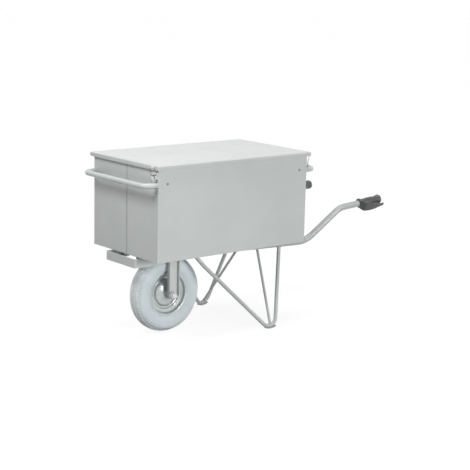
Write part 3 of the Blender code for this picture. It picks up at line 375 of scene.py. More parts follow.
def rolled_zinc(places):
    cloud = places.noise(22, 4, 0.6)
    lines = places.noise(260, 3, 0.5, (0.06, 1, 1))
    return {
        "Base_Color": clouded(cloud, (150, 152, 154), (168, 170, 172)),
        "Roughness": 0.34 + 0.06 * cloud + 0.04 * lines,
        "Normal": bump(lines, 0.00001),
    }


def ground_steel(places):
    marks = places.noise(600, 3, 0.6)
    return {
        "Base_Color": marks.mix(colour(150, 152, 156), colour(205, 206, 208)),
        "Roughness": 0.2 + 0.15 * marks,
    }


def dull_zinc_and_shade(places):
    stain = places.noise(260, 4, 0.6)
    return {
        # Darker than plain zinc: on the screw heads this is painted shade.
        "Base_Color": clouded(stain, (140, 142, 143), (168, 170, 171)),
        "Roughness": 0.42 + 0.2 * stain,
        "Normal": bump(stain, 0.00005),
    }


new_look("zinc", "zinc", zinc, Metallic=1.0)
new_look("dull_zinc_and_shade", "zinc", dull_zinc_and_shade, Metallic=0.8)
new_look("rolled_zinc", "zinc", rolled_zinc, Metallic=0.85)
new_look("pressed_silver", "rim_zinc", pressed_silver, Metallic=0.6)
new_look("ground_steel", "bearing_steel", ground_steel, Metallic=1.0)

# %% [markdown]
# A maker measures a barrow from the box's front wall, so places are given from there too.
# The wheel's centre is the first of them, because the tyre's look depends on it.

# %% Measure from the front wall
FRONT_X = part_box("box_shell_near")[0].x
WHEEL_X, TYRE_RADIUS = 0.246, 0.200


def at(x, y, z):
    """A point whose x is measured from the outside of the box's front wall."""
    return Vector((FRONT_X + x, y, z))


HUB = at(WHEEL_X, 0, TYRE_RADIUS)
print("front wall at x", round(FRONT_X, 5))

# %% [markdown]
# The tyre is the pale bluish grey of rubber that leaves no marks. Rubber is dull, slightly
# mottled, and carries a fine dusty bloom. Its tread is painted paler, which is painted
# light: it stands in for the light that the tread catches, and the distance from the
# wheel's axis says where the tread is. The grips are black moulded plastic with a fine
# leather-like grain, the strip under the lid is black sponge rubber, and the grey strip
# down each end wall is painted shade, the shadow at the edge of a lapped joint.

# %% Rubber and plastic
LIT_TREAD_FROM, LIT_TREAD_TO = 0.182, 0.194


def from_hub(places):
    """Distance from the wheel's axis, however the wheel has turned."""
    away = places.node("VectorMath", {"operation": "SUBTRACT"}, {0: places, 1: tuple(HUB)})
    flat = away.node("VectorMath", {"operation": "MULTIPLY"}, {0: away, 1: (1, 0, 1)})
    return flat.node("VectorMath", {"operation": "LENGTH"}, {0: flat}, 1)


def pale_rubber(places):
    mottle = places.noise(16, 5, 0.6)
    grain = places.noise(700, 3, 0.6)
    bloom = places.noise(60, 4, 0.7).between(0.5, 0.8)
    tone = clouded(mottle, (207, 217, 221), (216, 225, 229))
    dusty = (0.3 * bloom).mix(tone, colour(222, 228, 230))
    # Painted light: the tread is mixed towards a paler grey, standing in for the light it
    # catches.
    lit_tread = 0.8 * from_hub(places).between(LIT_TREAD_FROM, LIT_TREAD_TO)
    return {
        "Base_Color": lit_tread.mix(dusty, colour(240, 243, 244)),
        "Roughness": 0.52 + 0.14 * mottle + 0.1 * bloom,
        "Normal": bump(grain, 0.00008),
    }


def black_plastic(places):
    cell = places.node("TexVoronoi", {"feature": "F1"}, {"Vector": places, "Scale": 900.0})
    cloud = places.noise(45, 3)
    return {
        "Base_Color": cloud.mix(colour(64, 65, 66), colour(86, 87, 88)),
        "Roughness": 0.26 + 0.12 * cloud,
        "Normal": bump(cell, 0.00006),
    }


def sponge_rubber(places):
    pores = places.noise(1400, 3, 0.7)
    return {
        "Base_Color": pores.mix(colour(22, 22, 23), colour(46, 46, 47)),
        "Roughness": 0.75 + 0.2 * pores,
        "Normal": bump(pores, 0.0002),
    }


# The seam strip's grey is painted shade, the shadow at the edge of the lapped sheet.
def seam_shade(places):
    ripple = places.noise(300, 3, 0.5)
    return {
        "Base_Color": ripple.mix(colour(152, 154, 153), colour(172, 174, 173)),
        "Roughness": 0.5 + 0.2 * ripple,
        "Normal": bump(ripple, 0.0001),
    }


new_look("seam_shade", "seal_rubber", seam_shade, Specular_IOR_Level=0.3)
new_look("pale_rubber", "tyre_grey", pale_rubber, Specular_IOR_Level=0.35)
new_look("black_plastic", "grip_plastic", black_plastic, Specular_IOR_Level=0.6)
new_look("sponge_rubber", "seal_rubber", sponge_rubber, Specular_IOR_Level=0.2)

# %% [markdown]
# A finished piece is a mesh with its place in its own vertices, a look, and a body of the
# working model that it rides on. Its edges are smooth where faces meet gently and sharp
# elsewhere, and weighted normals keep large flat faces flat beside their rounded edges.

# %% Finish a piece
SAME_PLACE = 1e-6


def close_up(bm):
    """Merge vertices that lie in one place and turn every face outwards."""
    bmesh.ops.remove_doubles(bm, verts=bm.verts, dist=SAME_PLACE)
    bmesh.ops.recalc_face_normals(bm, faces=bm.faces)


def finish(bm, name, body, look, replaces=(), smooth=40, turn_out=True):
    """Make the object, dress it and let it ride on its body."""
    if turn_out:
        close_up(bm)
    mesh = bpy.data.meshes.new(name)
    bm.to_mesh(mesh)
    bm.free()
    mesh.shade_smooth()
    mesh.set_sharp_from_angle(angle=math.radians(smooth))
    material, slot = looks[look]
    mesh.materials.append(material)
    made = bpy.data.objects.new(name, mesh)
    scene.collection.objects.link(made)
    normals = made.modifiers.new("normals", "WEIGHTED_NORMAL")
    normals.keep_sharp = True
    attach(made, body)
    if replaces:
        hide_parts(*replaces)
    print(name, "has", len(mesh.polygons), "faces")
    return made


def soften(bm, width, segments=2, sharper_than=35, only=None):
    """Round the edges where faces meet more sharply than an angle in degrees."""
    limit = math.radians(sharper_than)
    edges = [e for e in bm.edges if len(e.link_faces) == 2 and e.calc_face_angle(0) > limit]
    if only:
        edges = [e for e in edges if only(e)]
    bmesh.ops.bevel(bm, geom=edges, offset=width, offset_type="OFFSET", segments=segments,
                    profile=0.5, affect="EDGES", clamp_overlap=True, material=-1)


print("pieces can be finished")

# %% [markdown]
# Many sheet parts of the working model already have the right shape: folded walls, floor,
# brackets, hinge leaves. Their surfaces are loose triangles with knife-sharp edges, though,
# and real sheet has edges that catch the light. A copy is merged, cleared of the flat
# triangles and given small rounded edges, which is quicker and truer than modelling anew.
# The box's sides and ends are listed once, with the way each faces and an end wall's x.

# %% Refine the folded sheet parts
BOX_LENGTH, HALF_WIDTH = 0.951, 0.276
SIDES = (("near", -1), ("far", 1))
ENDS = (("front", -1, 0), ("rear", 1, BOX_LENGTH))
CAD_MERGE, FLAT_ANGLE = 1e-5, math.radians(1)


def merged(node):
    """A CAD node's mesh with its loose triangles joined up to whole faces."""
    bm = bmesh.new()
    bm.from_mesh(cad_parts[node].data)
    bmesh.ops.remove_doubles(bm, verts=bm.verts, dist=CAD_MERGE)
    bmesh.ops.dissolve_limit(bm, angle_limit=FLAT_ANGLE, verts=bm.verts, edges=bm.edges)
    return bm


def refined(node, body, look, edge, segments=2):
    """A piece with a CAD node's own shape and with rounded edges."""
    bm = merged(node)
    soften(bm, edge, segments)
    finish(bm, node + "_piece", body, look, [node], turn_out=False)


for side, _ in SIDES:
    refined("box_shell_" + side, "cart", "powder_coat", edge=0.0004)
    refined("bumper_bracket_" + side, "cart", "powder_coat", edge=0.0012, segments=3)
    refined("foot_shoe_" + side, "cart", "shaded_frame_coat", edge=0.0010, segments=3)
for node in ("floor_pan", "top_rim"):
    refined(node, "cart", "powder_coat", edge=0.0004)
for node in ("cross_member_front", "cross_member_rear", "fork_crown"):
    refined(node, "cart", "powder_coat", edge=0.0014, segments=3)
refined("lid_seal", "cart", "sponge_rubber", edge=0.0008)
refined("lid_stiffener", "lid", "powder_coat", edge=0.0004)
refined("hinge_leaf_box", "cart", "rolled_zinc", edge=0.0003)
refined("hinge_leaf_lid", "lid", "rolled_zinc", edge=0.0003)
for end, *_ in ENDS:
    refined("latch_base_" + end, "cart", "zinc", edge=0.0004)
    refined("latch_lever_" + end, "lever_" + end, "zinc", edge=0.0005)
    refined("latch_keeper_" + end, "lid", "zinc", edge=0.0003)

# %% [markdown]
# The lid is one sheet with its edges folded down into a lip, like a shallow tray turned
# over. A cube is stretched to its size and loses its bottom face, its corners and top edges
# are rounded, and the sheet then gets its thickness inwards, as folding would leave it.

# %% Fold the lid
SHEET, LID_CORNER, LID_FOLD = 0.0015, 0.008, 0.0048
TOUCH = 1e-4


def add_block(bm, low, high):
    """A box between two corners."""
    verts = bmesh.ops.create_cube(bm, size=1)["verts"]
    bmesh.ops.scale(bm, vec=high - low, verts=verts)
    bmesh.ops.translate(bm, vec=(high + low) / 2, verts=verts)


bm = bmesh.new()
lid_low, lid_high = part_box("lid_panel")
add_block(bm, lid_low, lid_high)
under = [f for f in bm.faces if f.normal.z < -0.9]
bmesh.ops.delete(bm, geom=under, context="FACES_ONLY")
soften(bm, LID_CORNER, segments=6,
       only=lambda e: abs(e.verts[0].co.z - e.verts[1].co.z) > TOUCH)
soften(bm, LID_FOLD, segments=6,
       only=lambda e: min(v.co.z for v in e.verts) > lid_high.z - TOUCH)
lid = finish(bm, "lid_tray", "lid", "powder_coat", ["lid_panel"])
wall = lid.modifiers.new("sheet", "SOLIDIFY")
wall.thickness = SHEET
wall.offset = -1
lid.modifiers.move(1, 0)

# %% [markdown]
# Tubes are bent on the real object, so they are bent here too: a circle is extruded along
# each straight run and spun about the bend's centre, which keeps the tube perfectly round
# through the bend. A curve with a bevel would do as well, but spin shows how a bend is made.

# %% Bend a loop of edges
def edges_of(made):
    """The edges among an operator's results whose both ends are among its vertices."""
    verts = {g for g in made if isinstance(g, bmesh.types.BMVert)}
    return list({e for v in verts for e in v.link_edges if e.other_vert(v) in verts})


def push(bm, loop, way):
    """Extrude a loop of edges along a vector and return the new loop."""
    made = bmesh.ops.extrude_edge_only(bm, edges=loop)["geom"]
    new = edges_of(made)
    bmesh.ops.translate(bm, vec=way, verts=list({v for e in new for v in e.verts}))
    return new


def bend(bm, loop, corners, radii, step=7.5):
    """Take a loop of edges along corner points, with a bend of each radius at each corner."""
    place = corners[0]
    for corner, after, radius in zip(corners[1:], corners[2:], radii):
        into = (corner - place).normalized()
        away = (after - corner).normalized()
        angle = into.angle(away)
        reach = radius * math.tan(angle / 2)
        start = corner - into * reach
        loop = push(bm, loop, start - place)
        inward = (away - into * away.dot(into)).normalized()
        verts = list({v for e in loop for v in e.verts})
        made = bmesh.ops.spin(bm, geom=verts + loop, cent=start + inward * radius,
                              axis=into.cross(away), angle=angle, use_merge=False,
                              steps=max(3, round(math.degrees(angle) / step)))
        loop = edges_of(made["geom_last"])
        place = corner + away * reach
    return push(bm, loop, corners[-1] - place)


print("loops of edges can be bent")

# %% [markdown]
# A tube's cut end shows its wall, so it isn't just closed: the end face is inset by the
# wall's thickness and pushed a little way back down the bore. Solid bar is simply capped.

# %% Make tubes
TUBE_WALL, PLUG_DEPTH = 0.002, 0.02


def facing(place, way):
    """A matrix that sets something down at a place, with its own Z along a direction."""
    return Matrix.Translation(place) @ way.to_track_quat("Z", "Y").to_matrix().to_4x4()


def add_ring(bm, centre, way, radius, sides):
    """A circle of edges that faces along a direction."""
    made = bmesh.ops.create_circle(bm, cap_ends=False, segments=sides, radius=radius,
                                   matrix=facing(centre, way))
    return edges_of(made["verts"])


def cap(bm, *loops):
    """Close each loop of edges with one face."""
    for loop in loops:
        bmesh.ops.contextual_create(bm, geom=loop)


def close_tube(bm, loop):
    """Turn an open tube end in by its wall, then back down the bore to a plug."""
    verts = list({v for e in loop for v in e.verts})
    centre = sum((v.co for v in verts), Vector()) / len(verts)
    radius = (verts[0].co - centre).length
    face = bmesh.ops.contextual_create(bm, geom=loop)["faces"][0]
    bmesh.ops.inset_region(bm, faces=[face], thickness=min(TUBE_WALL, 0.6 * radius))
    normal = face.normal.copy()
    inside = sum((v.co - centre for e in loop for f in e.link_faces for v in f.verts), Vector())
    if normal.dot(inside) > 0:
        normal.negate()
    moved = bmesh.ops.extrude_discrete_faces(bm, faces=[face])["faces"]
    sunk = list({v for f in moved for v in f.verts})
    bmesh.ops.translate(bm, vec=-normal * PLUG_DEPTH, verts=sunk)


def add_tube(bm, corners, radii, radius, sides=32):
    """A bent tube with open ends."""
    loop = add_ring(bm, corners[0], corners[1] - corners[0], radius, sides)
    last = bend(bm, loop, corners, radii)
    for end in (loop, last):
        close_tube(bm, end)


print("tubes can be bent")

# %% [markdown]
# Round parts such as wheels, rings, nuts and beads are turned: half of the section is drawn
# once as points and spun about an axis, as a lathe would cut it.

# %% Turn round parts
def lathe(bm, profile, centre, axis, steps, closed=False):
    """Spin a profile of (radius, along) points about an axis, as on a lathe."""
    axis = Vector(axis).normalized()
    start = axis.orthogonal().normalized()
    verts = [bm.verts.new(centre + start * r + axis * along) for r, along in profile]
    edges = [bm.edges.new(pair) for pair in zip(verts, verts[1:])]
    if closed:
        edges.append(bm.edges.new((verts[-1], verts[0])))
    bmesh.ops.spin(bm, geom=verts + edges, cent=centre, axis=axis, angle=2 * math.pi,
                   steps=steps, use_merge=True)


def mirrored(profile):
    """A profile's points on the other side of the middle, in the order that goes on."""
    return [(r, -along) for r, along in reversed(profile)]


print("round parts can be turned")

# %% [markdown]
# Each carrying handle is a U of tube. Its ends go through the end wall close to the corners
# and are screwed to the side walls from outside, so it is one tube with two round bends.

# %% Carrying handles
HANDLE_RADIUS, HANDLE_OUT, HANDLE_IN = 0.01345, 0.068, 0.085
HANDLE_Y, HANDLE_Z, HANDLE_BEND = 0.26025, 0.8095, 0.042
for end, out, wall_x in ENDS:
    tail, bar = wall_x - out * HANDLE_IN, wall_x + out * HANDLE_OUT
    corners = [at(tail, HANDLE_Y, HANDLE_Z), at(bar, HANDLE_Y, HANDLE_Z),
               at(bar, -HANDLE_Y, HANDLE_Z), at(tail, -HANDLE_Y, HANDLE_Z)]
    bm = bmesh.new()
    add_tube(bm, corners, (HANDLE_BEND, HANDLE_BEND), HANDLE_RADIUS)
    finish(bm, "handle_tube_" + end, "cart", "powder_coat", ["carry_handle_" + end])

# %% [markdown]
# One half of the box laps over the other a little beside the middle of each end wall. The
# lap itself is not modelled: a thin grey strip along its edge is painted shade, the shadow
# that the lapped sheet's edge casts, so a small rounded block is enough.

# %% Seam strip of painted shade
SEAM_Y, SEAM_WIDTH, SEAM_SHORT = -0.0155, 0.0054, 0.001
SEAM_PROUD, SEAM_SUNK, SEAM_EDGE = 0.0005, 0.0004, 0.0002
wall_low, wall_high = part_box("box_shell_near")
for end, out, wall_x in ENDS:
    low_x, high_x = sorted((wall_x + out * SEAM_PROUD, wall_x - out * SEAM_SUNK))
    bm = bmesh.new()
    add_block(bm, at(low_x, SEAM_Y - SEAM_WIDTH / 2, wall_low.z + SEAM_SHORT),
              at(high_x, SEAM_Y + SEAM_WIDTH / 2, wall_high.z - SEAM_SHORT))
    soften(bm, SEAM_EDGE)
    finish(bm, "joint_sealant_" + end, "cart", "seam_shade")

# %% [markdown]
# Two main tubes run under the box, closer together at the wheel than at the hands, then
# bend up behind it and level off again towards the grips. Each leg is a thinner tube bent
# into a V with a flat foot. A round bar from the foot to the frame keeps it from folding.

# %% Frame tubes and legs
RAIL_RADIUS, RAIL_Z, RAIL_BENDS = 0.017, 0.4142, (0.150, 0.110)
RAIL_FRONT_Y, SPREAD_FROM_X = 0.0969, 0.221
GRIP_SPREAD, TUBE_END_X = 0.279, 1.481
RAIL_PLACES = ((0.030, RAIL_Z), (1.018, RAIL_Z), (1.233, 0.5782), (TUBE_END_X, 0.606472))
LEG_RADIUS, LEG_SUNK, LEG_BENDS = 0.010, 0.008, (0.060, 0.034, 0.046)
LEG_FRONT_X, KNEE_X, TOE_X, HEEL_X, LEG_BACK_X = 0.343, 0.392, 0.694, 0.753, 0.852
KNEE_DROP, TOE_Y, HEEL_Y, FOOT_Z = 0.074, 0.281, 0.289, 0.0143
STRUT_RADIUS, STRUT_FROM, STRUT_SHORT = 0.007, 0.009, 0.0150
STRUT_FOOT, STRUT_TOP = (0.7235, 0.285, FOOT_Z), (0.814, 0.043, RAIL_Z)


def rail_y(x):
    """Distance of a main tube from the middle plane: the tubes spread towards the hands."""
    share = (x - SPREAD_FROM_X) / (TUBE_END_X - SPREAD_FROM_X)
    return RAIL_FRONT_Y + (GRIP_SPREAD - RAIL_FRONT_Y) * share


def rail_corners(turn):
    return [at(x, turn * rail_y(x), z) for x, z in RAIL_PLACES]


def leg_corners(turn):
    """From the main tube down the front of the leg, along the foot and up the back."""
    top_y = rail_y(LEG_FRONT_X)
    knee_y = top_y + (TOE_Y - top_y) * (KNEE_DROP / (RAIL_Z - FOOT_Z))
    places = ((LEG_FRONT_X, top_y, RAIL_Z - LEG_SUNK), (KNEE_X, knee_y, RAIL_Z - KNEE_DROP),
              (TOE_X, TOE_Y, FOOT_Z), (HEEL_X, HEEL_Y, FOOT_Z),
              (LEG_BACK_X, rail_y(LEG_BACK_X), RAIL_Z - LEG_SUNK))
    return [at(x, turn * y, z) for x, y, z in places]


def strut_line(turn):
    """Where a strut's axis meets the foot and the frame, and the way from one to the other."""
    foot, top = (at(x, turn * y, z) for x, y, z in (STRUT_FOOT, STRUT_TOP))
    return foot, top, (top - foot).normalized()


for side, turn in SIDES:
    bm = bmesh.new()
    add_tube(bm, rail_corners(turn), RAIL_BENDS, RAIL_RADIUS, sides=36)
    finish(bm, "rail_tube_" + side, "cart", "shaded_frame_coat", ["rail_" + side])
    bm = bmesh.new()
    add_tube(bm, leg_corners(turn), LEG_BENDS, LEG_RADIUS, sides=24)
    finish(bm, "leg_tube_" + side, "cart", "shaded_frame_coat", ["leg_" + side])
    bm = bmesh.new()
    foot, top, way = strut_line(turn)
    loop = add_ring(bm, foot + way * STRUT_FROM, way, STRUT_RADIUS, sides=20)
    last = push(bm, loop, way * ((top - foot).length - STRUT_SHORT))
    cap(bm, loop, last)
    finish(bm, "strut_bar_" + side, "cart", "shaded_frame_coat", ["leg_strut_" + side])

# %% [markdown]
# The legs and struts are welded on. A weld is a bead of metal round the joint, a little
# uneven, under the same paint. A profile spun about the tube makes the ring, and a slow
# wave along it stands for the welder's steps.

# %% Weld beads
LEG_BEAD, LEG_BEAD_AT = 0.0024, 0.009
STRUT_BEAD, FOOT_BEAD_AT, TOP_BEAD_AT = 0.0021, 0.0125, 0.0075
BEAD_WAVES, WAVE_SHARE = 11, 0.18


def add_bead(bm, centre, way, radius, size):
    """A weld bead round a tube of that radius."""
    count = len(bm.verts)
    section = [(radius + size * math.cos(a), size * math.sin(a))
               for a in (math.radians(60 * i) for i in range(6))]
    lathe(bm, section, centre, way, steps=40, closed=True)
    bm.verts.ensure_lookup_table()
    start = way.orthogonal().normalized()
    for vert in bm.verts[count:]:
        flat = vert.co - centre - way * (vert.co - centre).dot(way)
        wave = WAVE_SHARE * math.sin(BEAD_WAVES * start.angle(flat))
        core = centre + flat.normalized() * radius
        vert.co = core + (vert.co - core) * (1 + wave)


for side, turn in SIDES:
    bm = bmesh.new()
    path = leg_corners(turn)
    for top, below in ((path[0], path[1]), (path[-1], path[-2])):
        way = (below - top).normalized()
        add_bead(bm, top + way * LEG_BEAD_AT, way, LEG_RADIUS, LEG_BEAD)
    foot, top, way = strut_line(turn)
    add_bead(bm, foot + way * FOOT_BEAD_AT, way, STRUT_RADIUS, STRUT_BEAD)
    add_bead(bm, top - way * TOP_BEAD_AT, way, STRUT_RADIUS, STRUT_BEAD)
    finish(bm, "welds_" + side, "cart", "shaded_frame_coat")

# %% [markdown]
# The front bumper is flat bar bent on edge into a U. The same bend helper takes a
# rectangle of edges instead of a circle round its two corners, and the bar's long edges
# are rounded afterwards as rolled bar is.

# %% Front bumper
BAR_THICKNESS, BAR_HEIGHT, BAR_BEND, BAR_EDGE = 0.006, 0.045, 0.0055, 0.0012


def add_bar_section(bm, centre, across, high):
    """A rectangle of edges with those half sizes as vectors."""
    corners = (across + high, high - across, -across - high, across - high)
    face = bm.faces.new([bm.verts.new(centre + c) for c in corners])
    edges = list(face.edges)
    bmesh.ops.delete(bm, geom=[face], context="FACES_ONLY")
    return edges


bar_low, bar_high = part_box("front_bumper")
mid_z = (bar_low.z + bar_high.z) / 2
half_y, front = bar_high.y - BAR_THICKNESS / 2, bar_low.x + BAR_THICKNESS / 2
corners = [Vector((x, y, mid_z)) for x, y in
           ((bar_high.x, half_y), (front, half_y), (front, -half_y), (bar_high.x, -half_y))]
bm = bmesh.new()
across, high = Vector((0, BAR_THICKNESS / 2, 0)), Vector((0, 0, BAR_HEIGHT / 2))
loop = add_bar_section(bm, corners[0], across, high)
last = bend(bm, loop, corners, (BAR_BEND, BAR_BEND), step=10)
cap(bm, loop, last)
soften(bm, BAR_EDGE, segments=3, sharper_than=60)
finish(bm, "bumper_bar", "cart", "powder_coat", ["front_bumper"])

# %% [markdown]
# The wheel is turned about its axle. The tyre's section is a balloon that narrows to its
# bead inside the rim. Its tread is made the way a mould makes it: every other strip of
# faces in a row is inset and raised, and the rows take turns, so that lugs and grooves
# alternate. Lugs run down the shoulder, as they do on a barrow tyre.

# %% Tyre
ACROSS = Vector((0, 1, 0))
BALLOON_RADIUS, BALLOON_DEPTH, BALLOON_HALF = 0.156, 0.055, 0.0492
ROUNDNESS, RIDGE, RIDGE_ANGLES = 2 / 2.2, 0.0007, (69, 123)
SKIN_END, SKIN_STEP = 129, 3
TYRE_BEAD = [(0.1172, 0.0389), (0.1065, 0.0386), (0.1043, 0.0360)]
LUG_HEIGHT, LUG_SLOPE, LUGS = 0.0030, 0.0009, 104
TREAD_TWIST, TWIST_AT = math.radians(1.7), 0.045
TYRE_ROWS = ((3, 15, 0), (18, 33, 1), (36, 60, 0))


def tyre_section(angle):
    """Radius and half width of the tyre's skin at an angle from the crown, in degrees."""
    a = math.radians(abs(angle))
    crown = TYRE_RADIUS - LUG_HEIGHT - BALLOON_RADIUS
    depth = crown if a < math.pi / 2 else BALLOON_DEPTH
    radius = BALLOON_RADIUS + math.copysign(depth * abs(math.cos(a)) ** ROUNDNESS, math.cos(a))
    ridge = RIDGE if abs(angle) in RIDGE_ANGLES else 0
    return radius, math.copysign(BALLOON_HALF * math.sin(a) ** ROUNDNESS + ridge, angle)


section = [tyre_section(a) for a in range(-SKIN_END, SKIN_END + 1, SKIN_STEP)]
section += TYRE_BEAD + mirrored(TYRE_BEAD)
bm = bmesh.new()
lathe(bm, section, HUB, ACROSS, steps=2 * LUGS, closed=True)
close_up(bm)
lugs = []
for face in bm.faces:
    away = face.calc_center_median() - HUB
    if math.hypot(away.x, away.z) < BALLOON_RADIUS:
        continue
    strip = round(math.atan2(away.z, away.x) / (2 * math.pi) * 2 * LUGS - 0.5)
    for low, high, odd in TYRE_ROWS:
        inner, outer = tyre_section(low)[1], tyre_section(high)[1]
        if inner < abs(away.y) < outer and strip % 2 == odd:
            lugs.append(face)
bmesh.ops.inset_region(bm, faces=lugs, thickness=LUG_SLOPE, depth=LUG_HEIGHT,
                       use_even_offset=True)
for vert in bm.verts:
    flat = vert.co - HUB
    lean = TREAD_TWIST * abs(flat.y) / TWIST_AT
    vert.co = HUB + Matrix.Rotation(lean, 3, "Y") @ flat
finish(bm, "tyre_cover", "wheel", "pale_rubber", ["tyre"], turn_out=False)

# %% [markdown]
# Each rim half is one pressed disc: a rolled flange that holds the tyre, a deep groove
# where the disc drops into the well, and a dish that rises to the hub. Its section is a
# line of points with the bends rounded by a smooth curve through them. The sheet's back is
# the same line set inwards, and outwards too where the disc is steep.

# %% Rims
RIM_FACE = [(0.1172, 0.0393), (0.1168, 0.0408), (0.1135, 0.0410), (0.1075, 0.0400),
            (0.1045, 0.0372), (0.1034, 0.0310), (0.1024, 0.0250), (0.0998, 0.0214),
            (0.0960, 0.0206), (0.0900, 0.0204), (0.0870, 0.0202), (0.0845, 0.0190),
            (0.0832, 0.0168), (0.0822, 0.0135), (0.0805, 0.0110), (0.0770, 0.0099),
            (0.0735, 0.0102), (0.0708, 0.0126), (0.0688, 0.0166), (0.0655, 0.0212),
            (0.0600, 0.0254), (0.0530, 0.0290), (0.0455, 0.0320), (0.0385, 0.0343),
            (0.0320, 0.0360), (0.0260, 0.0371)]
RIM_SHEET, STEEP_FROM, STEEP_TO = 0.002, 0.078, 0.103
STEEP_BACK, PLAIN_BACK = 0.0016, 0.0002


def smooth_line(points, steps=4):
    """A Catmull-Rom curve through points, ends kept."""
    padded = [points[0], *points, points[-1]]
    line = []
    for a, b, c, d in zip(padded, padded[1:], padded[2:], padded[3:]):
        for i in range(steps):
            t = i / steps
            line.append(tuple(
                b[k] + 0.5 * t * (c[k] - a[k] + t * (2 * a[k] - 5 * b[k] + 4 * c[k] - d[k]
                                  + t * (3 * (b[k] - c[k]) + d[k] - a[k])))
                for k in range(2)))
    return line + [points[-1]]


def sheet_back(face):
    """The back of the rim's sheet, in the order that goes on from its face."""
    return [(r + (STEEP_BACK if STEEP_FROM < r < STEEP_TO else PLAIN_BACK), y - RIM_SHEET)
            for r, y in reversed(face)]


rim_line = smooth_line(RIM_FACE)
rim_line += sheet_back(rim_line)
for side, turn in SIDES:
    bm = bmesh.new()
    lathe(bm, [(r, turn * y) for r, y in rim_line], HUB, ACROSS, steps=96, closed=True)
    finish(bm, "rim_disc_" + side, "wheel", "pressed_silver", ["rim_" + side])

# %% [markdown]
# The hub is a tube that holds a ball bearing at each end. Its outer edge is rounded, and
# the bearing shows as two steel rings with a shield sunk between them.

# %% Hub and bearings
HUB_LINE = [(0.0213, 0), (0.0213, 0.0415), (0.0222, 0.0420), (0.0246, 0.0420),
            (0.0255, 0.0411), (0.0255, 0.0375), (0.0255, 0.030), (0.0235, 0.027),
            (0.0225, 0.020), (0.0225, 0)]
RACE_LINE = [(0.0104, 0.0302), (0.0104, 0.0415), (0.0108, 0.0420), (0.0128, 0.0420),
             (0.0132, 0.0412), (0.0178, 0.0412), (0.0182, 0.0420), (0.0206, 0.0420),
             (0.0210, 0.0416), (0.0210, 0.0302)]
bm = bmesh.new()
whole = HUB_LINE + mirrored(HUB_LINE[1:-1])
lathe(bm, whole, HUB, ACROSS, steps=64, closed=True)
finish(bm, "hub_tube", "wheel", "pressed_silver", ["hub"])
for side, turn in SIDES:
    bm = bmesh.new()
    lathe(bm, [(r, turn * y) for r, y in RACE_LINE], HUB, ACROSS, steps=48, closed=True)
    finish(bm, "ball_bearing_" + side, "wheel", "ground_steel", ["bearing_" + side])

# %% [markdown]
# Each fork leg is a channel folded from sheet. From the wheel's corner its front flange is
# seen from outside and its rear flange from inside, so it opens outwards. The working
# model's channel is turned over about its own middle and its rear half set back a little.
# A thick washer on the spacer's end takes the nut, level with the flanges.

# %% Fork legs
FORK_SET_BACK, FORK_REAR_FROM, FORK_BEND, FORK_EDGE = 0.013, 0.016, 0.0028, 0.0008
SHORT_EDGE = 0.005
WASHER_LINE = [(0.0104, 0.0763), (0.0104, 0.0793), (0.0178, 0.0793), (0.0185, 0.0787),
               (0.0185, 0.0769), (0.0178, 0.0763)]
for side, turn in SIDES:
    low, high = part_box("fork_leg_" + side)
    bm = merged("fork_leg_" + side)
    bmesh.ops.scale(bm, vec=(1, -1, 1), verts=bm.verts)
    bmesh.ops.translate(bm, vec=(0, low.y + high.y, 0), verts=bm.verts)
    bmesh.ops.reverse_faces(bm, faces=bm.faces)
    rear = [v for v in bm.verts if v.co.x > HUB.x + FORK_REAR_FROM]
    bmesh.ops.translate(bm, vec=(FORK_SET_BACK, 0, 0), verts=rear)
    inner = min(abs(low.y), abs(high.y)) + TOUCH
    soften(bm, FORK_BEND, segments=4,
           only=lambda e: (max(abs(v.co.y) for v in e.verts) < inner
                           and e.calc_length() > SHORT_EDGE))
    soften(bm, FORK_EDGE)
    finish(bm, "fork_channel_" + side, "cart", "powder_coat", ["fork_leg_" + side],
           turn_out=False)
    bm = bmesh.new()
    lathe(bm, WASHER_LINE, HUB, ACROSS * turn, steps=48, closed=True)
    finish(bm, "fork_washer_" + side, "cart", "zinc")

# %% [markdown]
# The axle is a threaded bar held still in the fork by a flanged nut at each end. A nut is
# a hexagon with its corners turned off on a lathe. Here the hexagon is extruded, and its
# outer face is inset and raised, which leaves the slope. The thread is a row of fine
# grooves in the bar's profile.

# %% Axle and nuts
AXLE_RADIUS, AXLE_HALF, SHANK_END, TIP_SLOPE = 0.010, 0.0938, 0.0790, 0.0012
THREADS, THREAD_FROM, THREAD_PITCH, THREAD_DEPTH = 12, 0.0800, 0.0011, 0.0007
NUT_Y, NUT_HEIGHT, NUT_RADIUS, HEXAGON_FROM = 0.0793, 0.0125, 0.0158, 0.002
SLOPE_WIDTH, SLOPE_HEIGHT = 0.0014, 0.0007
FLANGE_LINE = [(0.0104, 0), (0.0172, 0), (0.0175, 0.0006), (0.0170, 0.0022), (0.0104, 0.0034)]
half_axle = [(AXLE_RADIUS, SHANK_END)]
for i in range(THREADS):
    root = THREAD_FROM + THREAD_PITCH * i
    half_axle += [(AXLE_RADIUS - THREAD_DEPTH, root), (AXLE_RADIUS, root + THREAD_PITCH / 2)]
half_axle += [(AXLE_RADIUS - TIP_SLOPE, AXLE_HALF), (0, AXLE_HALF)]
bm = bmesh.new()
lathe(bm, mirrored(half_axle) + half_axle, HUB, ACROSS, steps=40)
finish(bm, "axle_bar", "cart", "zinc", ["axle"])
